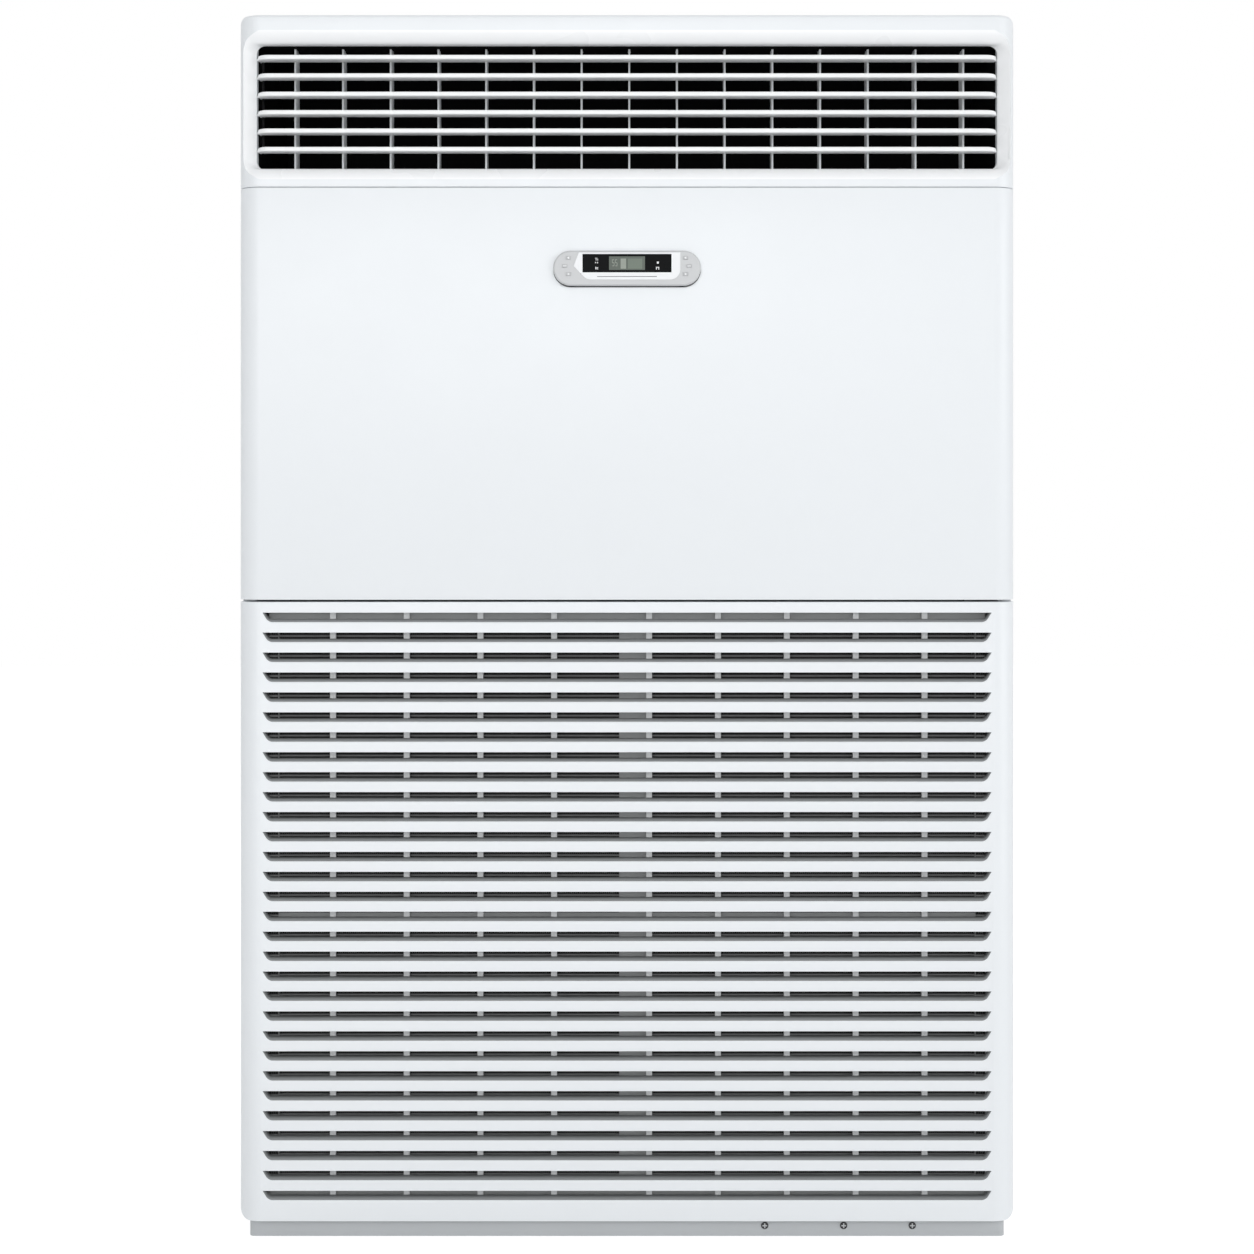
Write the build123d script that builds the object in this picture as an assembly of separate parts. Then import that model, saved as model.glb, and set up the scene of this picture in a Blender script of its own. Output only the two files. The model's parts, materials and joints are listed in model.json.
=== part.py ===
from build123d import *
import math
import os

# Floor standing cabinet air conditioner, in millimetres.
# X runs to the right, Y from front to back, Z up. The origin is on the floor, at the middle of
# the cabinet's width and depth. Front parts are placed by their depth behind the front plane.

# ------------------------------------------------------------------ cabinet
overall_width = 1200.0
overall_height = 1886.0
overall_depth = 400.0           # from the tops of the keys to the heads of the rear screws
plinth_height = 27.0
plinth_inset = 16.0
grille_height = 953.5
bezel_height = 265.6
grille_lift = 0.5               # gap between the plinth and the intake grille
grille_gap = 2.0                # gap over the intake grille, which its tilt needs
panel_gap = 0.8                 # gap between the upper panel and the outlet bezel
skin_gap = 0.8                  # gap between a wrapped moulding and the steel side behind it
corner_radius = 35.0            # upright front corners, seen from above
shoulder_radius = 20.0          # top edges of the bezel
foot_radius = 19.0              # lower corners of the grille, seen from the front
wrap_depth = 50.0               # how far the front mouldings reach round the sides
moulding_wall = 3.0
edge_break = 1.6                # chamfer on the outer edges of the mouldings along the joints
sheet = 1.2                     # steel of the sides, back and top
return_width = 20.0             # upright return flanges of the side panels
side_return = 45.0              # how far the rolled top and bottom of a side panel reach inwards

# ------------------------------------------------------------------ plinth
base_sheet = 2.0
base_corner = 9.0
base_flange = 25.0
anchor_hole_radius = 6.5
anchor_side_margin = 80.0       # anchor holes in from the cabinet's sides
anchor_end_margin = 44.0        # and in from the plinth's front and back
bead_radius = 6.0
bead_count = 3
bead_side_margin = 160.0
bead_pitch = 74.0
rear_foot_depth = 20.0
plinth_screw_drop = 10.6        # screw centres below the plinth's top
plinth_screws_in = (387.0, 265.0, 159.0)  # in from the cabinet's right side
screw_head_radius = 5.0
screw_head_height = 2.0
screw_slot = 1.4
screw_slot_length = 7.0
rear_screw_margin = 12.0
rear_screw_rows = 3
screw_sides = 8
rear_bead_count = 4
rear_bead_margin = 55.0

# ------------------------------------------------------------------ intake grille
slot_count = 30
slot_margin = 36.5              # from the cabinet's side to a slot's end, along its sharp upper lip
slot_lean = 11.0                # how far each slot end leans in towards its foot
first_slot_drop = 16.4          # top of the first slot below the grille's top
last_slat_rise = 16.1           # foot of the last slat over the grille's lower edge
slat_depth = 16.0
slat_face = 12.5                # upright part of a slat's face
slat_roll = 8.0                 # radius of the roll at a slat's top
roll_facets = 3
pocket_facets = 1
end_wall = 4.5                  # between a slot's end and the field's edge
lip_depth = 10.0
window_margin = 15.5            # from a slot's end to the side of the pocket behind it

# hinge of the grille
hinge_depth = 8.0
hinge_rise = 6.0                # pin centre over the plinth's top
hinge_pin_radius = 2.5
hinge_lug_radius = 4.5
hinge_lug_width = 8.0
hinge_web_height = 14.0
hinge_margin = 170.0            # hinge centres in from the cabinet's sides
ear_thickness = 3.0
ear_gap = 0.5
pin_clearance = 0.05
pin_sides = 6                   # pins that repeat are drawn with few sides

# ------------------------------------------------------------------ filters
frame_margin = 45.0             # in from the cabinet's sides
frame_rise = 29.5               # over the grille's lower edge
frame_drop = 13.0               # below the grille's top
frame_depth = 10.0
rib_depth = 8.0
frame_side_bar = 12.0
frame_top_bar = 20.0
mullion_centre = 10.0
mullion_width = 36.0
crossbar_drop = 480.0           # crossbar's centre below the frame's top
crossbar_height = 14.0
frame_ledge = 4.0
frame_ledge_depth = 2.0
rib_width = 9.0
left_rib_count = 4
left_rib_edge = 100.2           # from the frame's side to the outer rib
left_rib_reach = 122.8          # from the mullion's centre to the inner rib
right_rib_count = 5
right_rib_edge = 94.8
right_rib_reach = 24.2
filter_clearance = 0.3
filter_thickness = 5.0
filter_border = 9.0
filter_mesh = 0.8
filter_bar = 3.0
filter_bars_x = 1
filter_tab_width = 22.0
filter_tab_height = 8.0
filter_tab_margin = 32.0

# ------------------------------------------------------------------ outlet
opening_margin = 25.0           # in from the cabinet's sides
opening_drop = 43.0             # top of the opening below the cabinet's top
opening_height = 192.0
opening_corner = 14.0
flare_depth = 32.0
flare_side = 32.0               # sideways spread of the flare at the front plane
flare_rise = 13.0               # upward and downward spread of the flare
flare_corner = 20.0
duct_wall = 3.0
duct_sill_depth = 105.0         # depth behind the front plane where the sill turns down
duct_foot_drop = 51.0           # foot of the duct below the opening's sill
duct_bend = 187.0               # radius of the duct's curved back, inside
duct_back_gap = 1.2
blade_count = 6
blade_first_drop = 21.0         # first blade's pivot below the opening's top
blade_pitch = 28.4
blade_depth = 37.0              # pivot behind the front plane
blade_reach = 25.6              # nose centre ahead of the pivot
blade_tail = 4.0
blade_nose_radius = 3.4
blade_tail_radius = 2.0
blade_end_gap = 3.0
blade_corner = 12.0
blade_crank = 11.0
blade_link_width = 6.0
blade_link_gap = 0.5
vane_count = 15
vane_margin = 53.5              # from the opening's side to the outer vanes, were the row in its middle
vane_row_shift = 3.5            # the vane row stands this far right of centre
vane_depth = 75.0
vane_front = 23.5
vane_rear = 20.0
vane_nose = 3.0                 # thickness of a vane's front edge
vane_tail = 2.2
vane_clearance = 0.8
vane_crank = 17.0
vane_notch_front = 10.5
vane_notch_rise = 8.5
vane_link_rise = 4.0
pivot_radius = 2.0
link_pin_radius = 1.4
link_width = 8.0
link_thickness = 3.0
vane_motor_radius = 17.0
vane_motor_height = 20.0
vane_motor_grip = 7.0
driven_vane = 8

# ------------------------------------------------------------------ display
display_drop = 125.0            # display's centre below the upper panel's top
display_half_length = 113.75
display_radius = 27.0
display_rise = 7.2
display_wall = 2.0
display_bevel = 2.4
panel_hole_half_length = 96.0
panel_hole_half_height = 17.0
plate_lift = 3.1                # plate centre over the bezel's centre
plate_half_height = 21.0
plate_left_point = 82.0
plate_left_top = 74.0
plate_left_foot = 62.0
plate_right = 82.0
plate_corner = 16.0
plate_thickness = 1.6
plate_proud = 0.4
plate_clearance = 0.15
window_half_length = 68.3
window_half_height = 14.0
window_lift = 7.4
window_ledge = 3.0
window_clearance = 0.15
board_half_length = 101.0
board_half_height = 19.5
board_thickness = 1.6
lcd_half_length = 28.0
lcd_half_height = 10.7
key_column = 95.5
key_column_step = 5.5           # the outer keys stand this much nearer to the plate
key_pitch = 12.5
key_half_length = 3.6
key_half_height = 2.4
key_proud = 0.8
key_travel = 0.8
key_clearance = 0.25
key_flange = 1.2
key_flange_thickness = 1.0
key_seat_gap = 0.3

# ------------------------------------------------------------------ blower
fan_axis_z = 560.0
fan_axis_shift = 10.0           # the shaft stands this far behind the middle of the cabinet's depth
wheel_margin = 70.0             # from a wheel to the overall depth's ends, were it in the middle
wheel_side_gap = 20.0           # from a wheel's ends to the volute's cheeks
wheel_blades = 10
wheel_blade_depth = 22.0
wheel_blade_thickness = 2.4
wheel_blade_lead = 12.0
ring_sides = 12
wheel_ring = 5.0
wheel_disc = 2.5
wheel_hub_radius = 26.0
wheel_hub_width = 44.0
shaft_overhang = 6.0
shaft_radius = 8.0
shaft_clearance = 0.05
scroll_side_margin = 172.0      # from the outer cheek to the cabinet's side
scroll_wall = 2.0
scroll_gap = 13.0               # from the wheel to the volute's nearest wall
scroll_growth = 10.0
scroll_tongue = 25.0
scroll_tongue_radius = 6.0
scroll_inlet_radius = 110.0
scroll_neck_flange = 12.0
motor_radius = 75.0
motor_sides = 16
motor_half_length = 92.0
scroll_motor_gap = 26.0
cradle_half_gap = 60.0
cradle_wall = 3.0
cradle_rim = 18.0
scroll_facet_angle = 30.0
cradle_clearance = 0.3
deck_height = 800.0
deck_sheet = 2.0
deck_hem = 18.0
deck_side_gap = 0.3
deck_edge_gap = 1.5

# ------------------------------------------------------------------ coil, pan and pipes
coil_margin = 64.0              # in from the cabinet's sides
coil_thickness = 66.0
coil_length = 740.0
coil_top_margin = 61.6          # from the middle of the coil's top to the back
coil_foot_depth = 112.0
coil_plate = 2.0
coil_plate_rim = 6.0
seat_gap = 0.3                  # gap under pieces that rest on one another
pan_front_depth = 54.0
pan_rear_depth = 172.0
pan_margin = 25.0
pan_height = 46.0
pan_wall = 2.5
drain_radius = 11.0
drain_bore = 8.5
stub_length = 39.0              # wider end of each pipe, which takes the outside pipe or hose
stub_bore_depth = 34.0
pipe_step = 1.0                 # how much thinner the pipe is behind its stub
pipe_sides = 8
gas_radius = 14.3
gas_bore = 13.0
liquid_radius = 7.95
liquid_bore = 6.9
gas_margin = 118.0              # pipes in from the cabinet's right side
liquid_margin = 82.0
drain_margin = 52.0
pipe_exit_z = 195.0
drain_exit_z = 148.0
pipe_drop_depth = 78.0          # upright pipes ahead of the back
pipe_top = 990.0
exit_margin = 32.0
exit_width = 110.0
exit_bottom = 70.0
exit_top = 225.0
stub_setback = 1.0
electric_margin = 145.0         # in from the cabinet's right side
electric_width = 265.0
electric_top = 300.0
electric_depth = 120.0
electric_lid = 2.0
electric_steel = 2.0
electric_gap = 0.5

# ------------------------------------------------------------------ stations worked out from these
half_width = overall_width / 2
front = -overall_depth / 2 + display_rise + key_proud
rear = overall_depth / 2 - screw_head_height
wrap_end = front + wrap_depth
side_front = wrap_end + skin_gap
steel_half_width = half_width - sheet
steel_top = overall_height - sheet
steel_radius = shoulder_radius - sheet
middle_y = (front + rear) / 2
base_front = front + plinth_inset
base_rear = rear - plinth_inset
anchor_half_x = half_width - anchor_side_margin
anchor_half_y = (base_rear - base_front) / 2 - anchor_end_margin
plinth_screws_x = [half_width - inward for inward in plinth_screws_in]
grille_bottom = plinth_height + grille_lift
grille_top = grille_bottom + grille_height
panel_bottom = grille_top + grille_gap
bezel_bottom = overall_height - bezel_height
panel_top = bezel_bottom - panel_gap
slot_pitch = (grille_height - first_slot_drop - last_slat_rise) / slot_count
slot_half_width = half_width - slot_margin
window_half_width = slot_half_width - window_margin
first_lip = grille_top - first_slot_drop
last_lip = first_lip - (slot_count - 1) * slot_pitch
hinge_x = half_width - hinge_margin
hinge_y = front + hinge_depth
hinge_z = plinth_height + hinge_rise
frame_half_width = half_width - frame_margin
frame_bottom = grille_bottom + frame_rise
frame_top = grille_top - frame_drop
crossbar_centre = frame_top - crossbar_drop
opening_half_width = half_width - opening_margin
opening_top = overall_height - opening_drop
opening_bottom = opening_top - opening_height
duct_front = front + flare_depth
duct_bottom = opening_bottom - duct_foot_drop
blade_y = front + blade_depth
blade_zs = [opening_top - blade_first_drop - n * blade_pitch for n in range(blade_count)]
vane_y = front + vane_depth
vane_pitch = 2 * (opening_half_width - vane_margin) / (vane_count - 1)
vane_xs = [vane_row_shift + (n - (vane_count - 1) / 2) * vane_pitch for n in range(vane_count)]
display_centre_z = panel_top - display_drop
fan_axis_y = middle_y + fan_axis_shift
wheel_radius = overall_depth / 2 - wheel_margin
scroll_start_radius = wheel_radius + scroll_gap
scroll_width = half_width - scroll_side_margin - motor_half_length - scroll_motor_gap
wheel_width = scroll_width - 2 * wheel_side_gap
coil_half_width = half_width - coil_margin
coil_foot_y = front + coil_foot_depth
coil_tilt = math.degrees(math.asin((rear - coil_top_margin - coil_foot_y) / coil_length))
pan_half_width = half_width - pan_margin
gas_x = half_width - gas_margin
liquid_x = half_width - liquid_margin
drain_x = half_width - drain_margin
pipe_drop_y = rear - pipe_drop_depth
exit_right = half_width - exit_margin
exit_left = exit_right - exit_width
electric_right = half_width - electric_margin
electric_left = electric_right - electric_width


# ------------------------------------------------------------------ shared ways of making a solid
def plan_prism(sketch, z0, z1):
    """A flat outline drawn in X and Y, raised from z0 to z1."""
    return extrude(Plane.XY.offset(z0) * sketch, z1 - z0, dir=(0, 0, 1))


def front_prism(sketch, y0, y1):
    """An outline drawn in X and Z, as seen from the front, running from y0 back to y1."""
    return extrude(Plane.XZ.offset(-y0) * sketch, y1 - y0, dir=(0, 1, 0))


def side_prism(sketch, x0, x1):
    """An outline drawn in Y and Z, as seen from the right, running from x0 to x1."""
    return extrude(Plane.YZ.offset(x0) * sketch, x1 - x0, dir=(1, 0, 0))


def area(u0, u1, v0, v1):
    """A flat rectangle between two corners."""
    return Pos((u0 + u1) / 2, (v0 + v1) / 2) * Rectangle(u1 - u0, v1 - v0)


def block(x0, x1, y0, y1, z0, z1):
    """A rectangular solid between two corners."""
    return plan_prism(area(x0, x1, y0, y1), z0, z1)


def rod(start, end, radius):
    """A round bar between two points."""
    run = Vector(end) - Vector(start)
    return extrude(Plane(origin=start, z_dir=run) * Circle(radius), run.length)


def pin(start, end, radius):
    """A small pivot or crank pin between two points, with few sides."""
    run = Vector(end) - Vector(start)
    return extrude(Plane(origin=start, z_dir=run) * RegularPolygon(radius, pin_sides), run.length)


def pin_hole(radius):
    """The outline of the hole that such a pin turns in."""
    return RegularPolygon(radius + pin_clearance, pin_sides, major_radius=False)


def tapered_bar(u0, r0, u1, r1):
    """The outline of a bar with a rounded end at u0 and another at u1, both on the first axis."""
    turn = Rot(0, 0, 180 / pin_sides)
    ends = [Pos(u, 0) * turn * RegularPolygon(r, pin_sides, major_radius=False) for u, r in ((u0, r0), (u1, r1))]
    return make_hull(ends[0].edges() + ends[1].edges())


def inside_corner(radius):
    """The chamfer that just clears a rounded corner of this radius from the inside."""
    return radius * (2 - math.sqrt(2))


def save(node, solid):
    """Writes one named piece."""
    export_step(solid, "parts/" + node + ".step")


# ------------------------------------------------------------------ front mouldings
def moulded_block(half, y0, y1, z0, z1, corner):
    """A block whose two upright front edges are rounded."""
    outline = area(-half, half, y0, y1)
    outline = fillet(outline.vertices().group_by(Axis.Y)[0], corner)
    return plan_prism(outline, z0, z1)


def hollow_block(half, y0, y1, z0, z1, corner):
    """The room inside such a block, with flat corners."""
    outline = area(-half, half, y0, y1)
    outline = chamfer(outline.vertices().group_by(Axis.Y)[0], inside_corner(corner))
    return plan_prism(outline, z0, z1)


def rim_edges(solid, z):
    """The edges round a moulding's upper or lower end, without the one along its open back."""
    face = solid.faces().sort_by(Axis.Z)[-1 if z > 0 else 0]
    return face.edges().sort_by(Axis.Y)[:-1]


def moulding_room(z0, z1):
    """The room inside a wrapped front moulding, open behind."""
    wall = moulding_wall
    return hollow_block(half_width - wall, front + wall, wrap_end + 1, z0 + wall, z1 - wall, corner_radius - wall)


def make_outlet_bezel():
    """The top moulding, with its flared air outlet."""
    outer = moulded_block(half_width, front, wrap_end, bezel_bottom, overall_height, corner_radius)
    outer = fillet(rim_edges(outer, 1), shoulder_radius)
    outer = chamfer(rim_edges(outer, -1), edge_break)
    room = moulding_room(bezel_bottom, overall_height)
    room = chamfer(rim_edges(room, 1), inside_corner(shoulder_radius - moulding_wall))
    shell = outer - room
    middle = (opening_bottom + opening_top) / 2
    half_height = (opening_top - opening_bottom) / 2

    def flare(extra, start):
        """The flare's funnel, from start in front of the front plane back to the duct."""
        stretch = (flare_depth + start) / flare_depth
        sections = []
        for depth, spread, corner in ((flare_depth, 0.0, opening_corner), (-start, stretch, flare_corner)):
            width = 2 * (opening_half_width + spread * flare_side + extra)
            height = 2 * (half_height + spread * flare_rise + extra)
            outline = Rectangle(width, height)
            outline = Pos(0, middle) * chamfer(outline.vertices(), inside_corner(corner + extra))
            sections.append(Plane.XZ.offset(-(front + depth)) * outline)
        return loft(sections, ruled=True)

    return shell + (flare(duct_wall, 0.0) & outer) - flare(0.0, 1.0)


def make_upper_front_panel():
    """The plain panel over the grille, with the cut-out behind the display."""
    outer = moulded_block(half_width, front, wrap_end, panel_bottom, panel_top, corner_radius)
    outer = chamfer(rim_edges(outer, 1), edge_break)
    outer = chamfer(rim_edges(outer, -1), edge_break)
    hole = Pos(0, display_centre_z) * Rectangle(2 * panel_hole_half_length, 2 * panel_hole_half_height)
    return outer - moulding_room(panel_bottom, panel_top) - front_prism(hole, front - 1, front + moulding_wall + 1)


# ------------------------------------------------------------------ intake grille
def roll_points(y, z, radius, facets):
    """Points round the roll at a slat's top, from its upright face to its level back."""
    steps = [math.radians(90 * n / facets) for n in range(facets + 1)]
    return [(y + radius * (1 - math.cos(a)), z + radius * math.sin(a)) for a in steps]


def pocket_tool(foot):
    """What is taken out behind one slat: the room under its roll, down past its sharp lower lip."""
    back = front + slat_depth + 1
    face = front + moulding_wall
    roll = roll_points(face, foot + slat_face, slat_roll - moulding_wall, pocket_facets)
    section = Polygon((face, foot - 1), *roll, (back, roll[-1][1]), (back, foot - 1), align=None)
    return side_prism(section, -window_half_width, window_half_width)


def slot_tool(lip):
    """What one slot takes out of the grille: the room over a slat's roll, with leaning ends."""
    start = lip - slot_pitch + slat_face
    back = front + slat_depth + 1
    roll = roll_points(front, start, slat_roll, roll_facets)
    section = Polygon((front - 1, start), *roll, (back, roll[-1][1]), (back, lip), (front - 1, lip), align=None)
    foot_half = slot_half_width - slot_lean
    foot = start - 1
    outline = Polygon((-slot_half_width, lip), (-foot_half, foot), (foot_half, foot),
                      (slot_half_width, lip), align=None)
    run = side_prism(section, -slot_half_width - 1, slot_half_width + 1)
    return run & front_prism(outline, front - 2, front + slat_depth + 2)


def make_intake_grille():
    """The louvred lower front, with its hinge lugs."""
    # the lower corners are rounded as seen from the front
    height = grille_top - grille_bottom
    elevation = Pos(0, (grille_top + grille_bottom) / 2) * Rectangle(2 * half_width, height)
    elevation = fillet(elevation.vertices().group_by(Axis.Y)[0], foot_radius)
    wall = moulding_wall
    hollow = area(-half_width + wall, half_width - wall, grille_bottom + wall, grille_top - wall)
    hollow = chamfer(hollow.vertices().group_by(Axis.Y)[0], inside_corner(foot_radius - wall))
    body = moulded_block(half_width, front, wrap_end, grille_bottom, grille_top, corner_radius)
    body = chamfer(rim_edges(body, 1), edge_break)
    body &= front_prism(elevation, front - 1, wrap_end + 1)
    body -= moulding_room(grille_bottom, grille_top) & front_prism(hollow, front, wrap_end + 2)
    # the floor of the shell is cut back to a short lip, so that the grille can tilt
    floor_half = half_width - foot_radius
    body -= block(-floor_half, floor_half, front + lip_depth, wrap_end + 1,
                  grille_bottom - 1, grille_bottom + moulding_wall + 0.5)
    # a thick field, cut through by the slots and hollowed behind each slat
    field_half = slot_half_width + end_wall
    last_foot = last_lip - slot_pitch
    body += block(-field_half, field_half, front, front + slat_depth, last_foot, first_lip + moulding_wall)
    lips = [first_lip - n * slot_pitch for n in range(slot_count)]
    body -= [slot_tool(lip) for lip in lips]
    body -= [pocket_tool(lip - slot_pitch) for lip in lips]
    body -= block(-window_half_width, window_half_width, front + moulding_wall, front + slat_depth + 1,
                  first_lip - 1, first_lip + moulding_wall + 1)
    # hinge lugs with their stub pins, and room in the lip for the ears
    for side in (-1, 1):
        x = side * hinge_x
        half = hinge_lug_width / 2
        reach = half + ear_gap + ear_thickness
        notch = reach + 1.5
        body -= block(x - notch, x + notch, front + moulding_wall, front + lip_depth + 1,
                      grille_bottom - 1, grille_bottom + moulding_wall + 0.5)
        web = area(front + 1, hinge_y, hinge_z, hinge_z + hinge_web_height)
        eye = Pos(hinge_y, hinge_z) * RegularPolygon(hinge_lug_radius, pin_sides)
        lug = side_prism(eye, x - half, x + half)
        heel = area(front + 1, hinge_y, hinge_z - hinge_lug_radius, hinge_z + hinge_lug_radius)
        body += lug + side_prism(web, x - half, x + half) + side_prism(heel, x - half, x + half)
        body += pin((x - reach, hinge_y, hinge_z), (x + reach, hinge_y, hinge_z), hinge_pin_radius)
    return body


# ------------------------------------------------------------------ filters behind the grille
def rib_xs():
    """Centres of the light upright ribs."""
    rows = ((-frame_half_width + left_rib_edge, mullion_centre - left_rib_reach, left_rib_count),
            (mullion_centre + right_rib_reach, frame_half_width - right_rib_edge, right_rib_count))
    return [first + (last - first) * n / (count - 1) for first, last, count in rows for n in range(count)]


def filter_windows():
    """The four windows of the frame, as (x0, x1, z0, z1)."""
    columns = [(-frame_half_width + frame_side_bar, mullion_centre - mullion_width / 2),
               (mullion_centre + mullion_width / 2, frame_half_width - frame_side_bar)]
    rows = [(crossbar_centre + crossbar_height / 2, frame_top - frame_top_bar),
            (frame_bottom + frame_side_bar, crossbar_centre - crossbar_height / 2)]
    return [(x0, x1, z0, z1) for z0, z1 in rows for x0, x1 in columns]


def make_filter_frame():
    """The lattice that holds the four filters against the back of the slats."""
    y0 = front + slat_depth + rib_depth
    y1 = y0 + frame_depth
    frame = block(-frame_half_width, frame_half_width, y0, y1, frame_bottom, frame_top)
    for x0, x1, z0, z1 in filter_windows():
        ledge = frame_ledge
        frame -= block(x0, x1, y0 + frame_ledge_depth, y1 + 1, z0, z1)
        frame -= block(x0 + ledge, x1 - ledge, y0 - 1, y1, z0 + ledge, z1 - ledge)
    for x in rib_xs():
        frame += block(x - rib_width / 2, x + rib_width / 2, front + slat_depth,
                       y0 + frame_ledge_depth / 2, frame_bottom + 1, frame_top - 1)
    return frame


def make_filter(x0, x1, z0, z1):
    """One dust filter: a border, a thin mesh and a few stiffening bars."""
    gap = filter_clearance
    x0, x1, z0, z1 = x0 + gap, x1 - gap, z0 + gap, z1 - gap
    y0 = front + slat_depth + rib_depth + frame_ledge_depth
    y1 = y0 + filter_thickness
    edge = filter_border
    border = area(x0, x1, z0, z1) - area(x0 + edge, x1 - edge, z0 + edge, z1 - edge)
    piece = front_prism(border, y0, y1)
    piece += block(x0 + edge / 2, x1 - edge / 2, y0 + 1, y0 + 1 + filter_mesh, z0 + edge / 2, z1 - edge / 2)
    for n in range(1, filter_bars_x + 1):
        x = x0 + (x1 - x0) * n / (filter_bars_x + 1)
        piece += block(x - filter_bar / 2, x + filter_bar / 2, y0 + 1, y1 - 1, z0 + edge / 2, z1 - edge / 2)
    # finger tabs that stand forward into the window over its lower ledge
    tab_foot = z0 + frame_ledge + filter_clearance
    for x in (x0 + filter_tab_margin, x1 - filter_tab_margin):
        piece += block(x - filter_tab_width / 2, x + filter_tab_width / 2, y0 - frame_ledge_depth, y0 + 1,
                       tab_foot, tab_foot + filter_tab_height)
    return piece


# ------------------------------------------------------------------ plinth and steel cabinet
def bead_outline(height):
    """The section of a pressed stiffening bead that stands up from its foot."""
    return Polygon((-2 * height, -sheet / 2), (2 * height, -sheet / 2), (height, height), (-height, height),
                   align=None)


def make_base_pan():
    """An upturned steel tray with an in-turned top flange, anchor holes and the hinge ears."""
    half = half_width - plinth_inset

    def outline(inset):
        return area(-half + inset, half - inset, base_front + inset, base_rear - inset)

    whole = outline(0)
    room = outline(base_sheet)
    pan = plan_prism(fillet(whole.vertices(), base_corner), 0, plinth_height)
    pan -= plan_prism(chamfer(room.vertices(), inside_corner(base_corner - base_sheet)), base_sheet,
                      plinth_height - base_sheet)
    pan -= plan_prism(outline(base_flange), base_sheet, plinth_height + 1)
    bead_half = half_width - bead_side_margin
    for n in range(bead_count):
        y = middle_y + (n - (bead_count - 1) / 2) * bead_pitch
        pan += side_prism(Pos(y, base_sheet) * bead_outline(bead_radius), -bead_half, bead_half)
    for x in (-anchor_half_x, anchor_half_x):
        for y in (middle_y - anchor_half_y, middle_y + anchor_half_y):
            pan -= rod((x, y, -1), (x, y, base_sheet + 1), anchor_hole_radius)
    for side in (-1, 1):
        for cheek in (-1, 1):
            x = side * hinge_x + cheek * (hinge_lug_width / 2 + ear_gap + ear_thickness / 2)
            head = (Pos(hinge_y, hinge_z) * RegularPolygon(hinge_lug_radius, pin_sides)).edges()
            foot = area(base_front + 2, base_front + 14, plinth_height - base_sheet / 2, plinth_height + 3).edges()
            ear = make_hull(head + foot) - Pos(hinge_y, hinge_z) * pin_hole(hinge_pin_radius)
            pan += side_prism(ear, x - ear_thickness / 2, x + ear_thickness / 2)
    return pan


def steel_ring(inset):
    """The cabinet's rounded outline, seen from the front, drawn in by inset."""
    height = steel_top - plinth_height
    outline = RectangleRounded(2 * (steel_half_width - inset), height - 2 * inset, steel_radius - inset)
    return Pos(0, plinth_height + height / 2) * outline


def make_side_panel(side):
    """A steel side, rolled over at the top and foot, with upright returns front and back."""
    y1 = rear - sheet
    ring = front_prism(steel_ring(0) - steel_ring(sheet), side_front, y1)
    face = front_prism(steel_ring(0), side_front, y1)

    def slice_of(width, y0, y2):
        outer = side * (steel_half_width + 1)
        inner = side * (steel_half_width - width)
        return block(min(outer, inner), max(outer, inner), y0, y2, 0, overall_height)

    panel = ring & slice_of(side_return, side_front - 1, y1 + 1)
    panel += face & slice_of(return_width, side_front, side_front + sheet)
    panel += face & slice_of(return_width, y1 - sheet, y1)
    return panel


def make_rear_panel():
    """The flat steel back, with stiffening beads, a foot flange and the pipe cut-out."""
    panel = front_prism(steel_ring(0), rear - sheet, rear)
    foot_half = steel_half_width - side_return - 2
    panel += block(-foot_half, foot_half, rear - plinth_inset - rear_foot_depth, rear - sheet / 2,
                   plinth_height, plinth_height + sheet)
    panel -= block(exit_left, exit_right, rear - sheet - 1, rear + 1, exit_bottom, exit_top)
    low = exit_top + 3 * bead_radius
    step = (steel_top - 3 * bead_radius - low) / rear_bead_count
    half = steel_half_width - rear_bead_margin
    for n in range(rear_bead_count):
        z = low + (n + 0.5) * step
        inward = Pos(rear - sheet, z) * Rot(0, 0, 90)
        panel += side_prism(inward * bead_outline(bead_radius - sheet), -half, half)
        groove = Pos(rear, z) * Rot(0, 0, 90) * bead_outline(bead_radius - sheet)
        panel -= side_prism(groove, -half + sheet, half - sheet)
    return panel


def make_top_panel():
    """The flat steel top, lying on the rolled sides behind the bezel."""
    half = steel_half_width - steel_radius
    plate = area(-half, half, side_front, rear)
    return plan_prism(plate, steel_top, overall_height)


def make_cabinet_screws():
    """Pan-head screws: three in the plinth's front and two columns in the back."""
    screws = []
    for x in plinth_screws_x:
        z = plinth_height - plinth_screw_drop
        face = base_front
        outline = Pos(x, z) * RegularPolygon(screw_head_radius, screw_sides)
        head = front_prism(outline, face - screw_head_height, face)
        long, short = screw_slot_length / 2, screw_slot / 2
        for size_x, size_z in ((long, short), (short, long)):
            head -= block(x - size_x, x + size_x, face - screw_head_height - 1,
                          face - screw_head_height / 2, z - size_z, z + size_z)
        screws.append(head)
    low = plinth_height + steel_radius + rear_screw_margin
    high = steel_top - steel_radius - rear_screw_margin
    for side in (-1, 1):
        for n in range(rear_screw_rows):
            x = side * (steel_half_width - rear_screw_margin)
            z = low + (high - low) * n / (rear_screw_rows - 1)
            outline = Pos(x, z) * RegularPolygon(screw_head_radius, 6)
            screws.append(front_prism(outline, rear, rear + screw_head_height))
    return Compound(children=screws)


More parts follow.
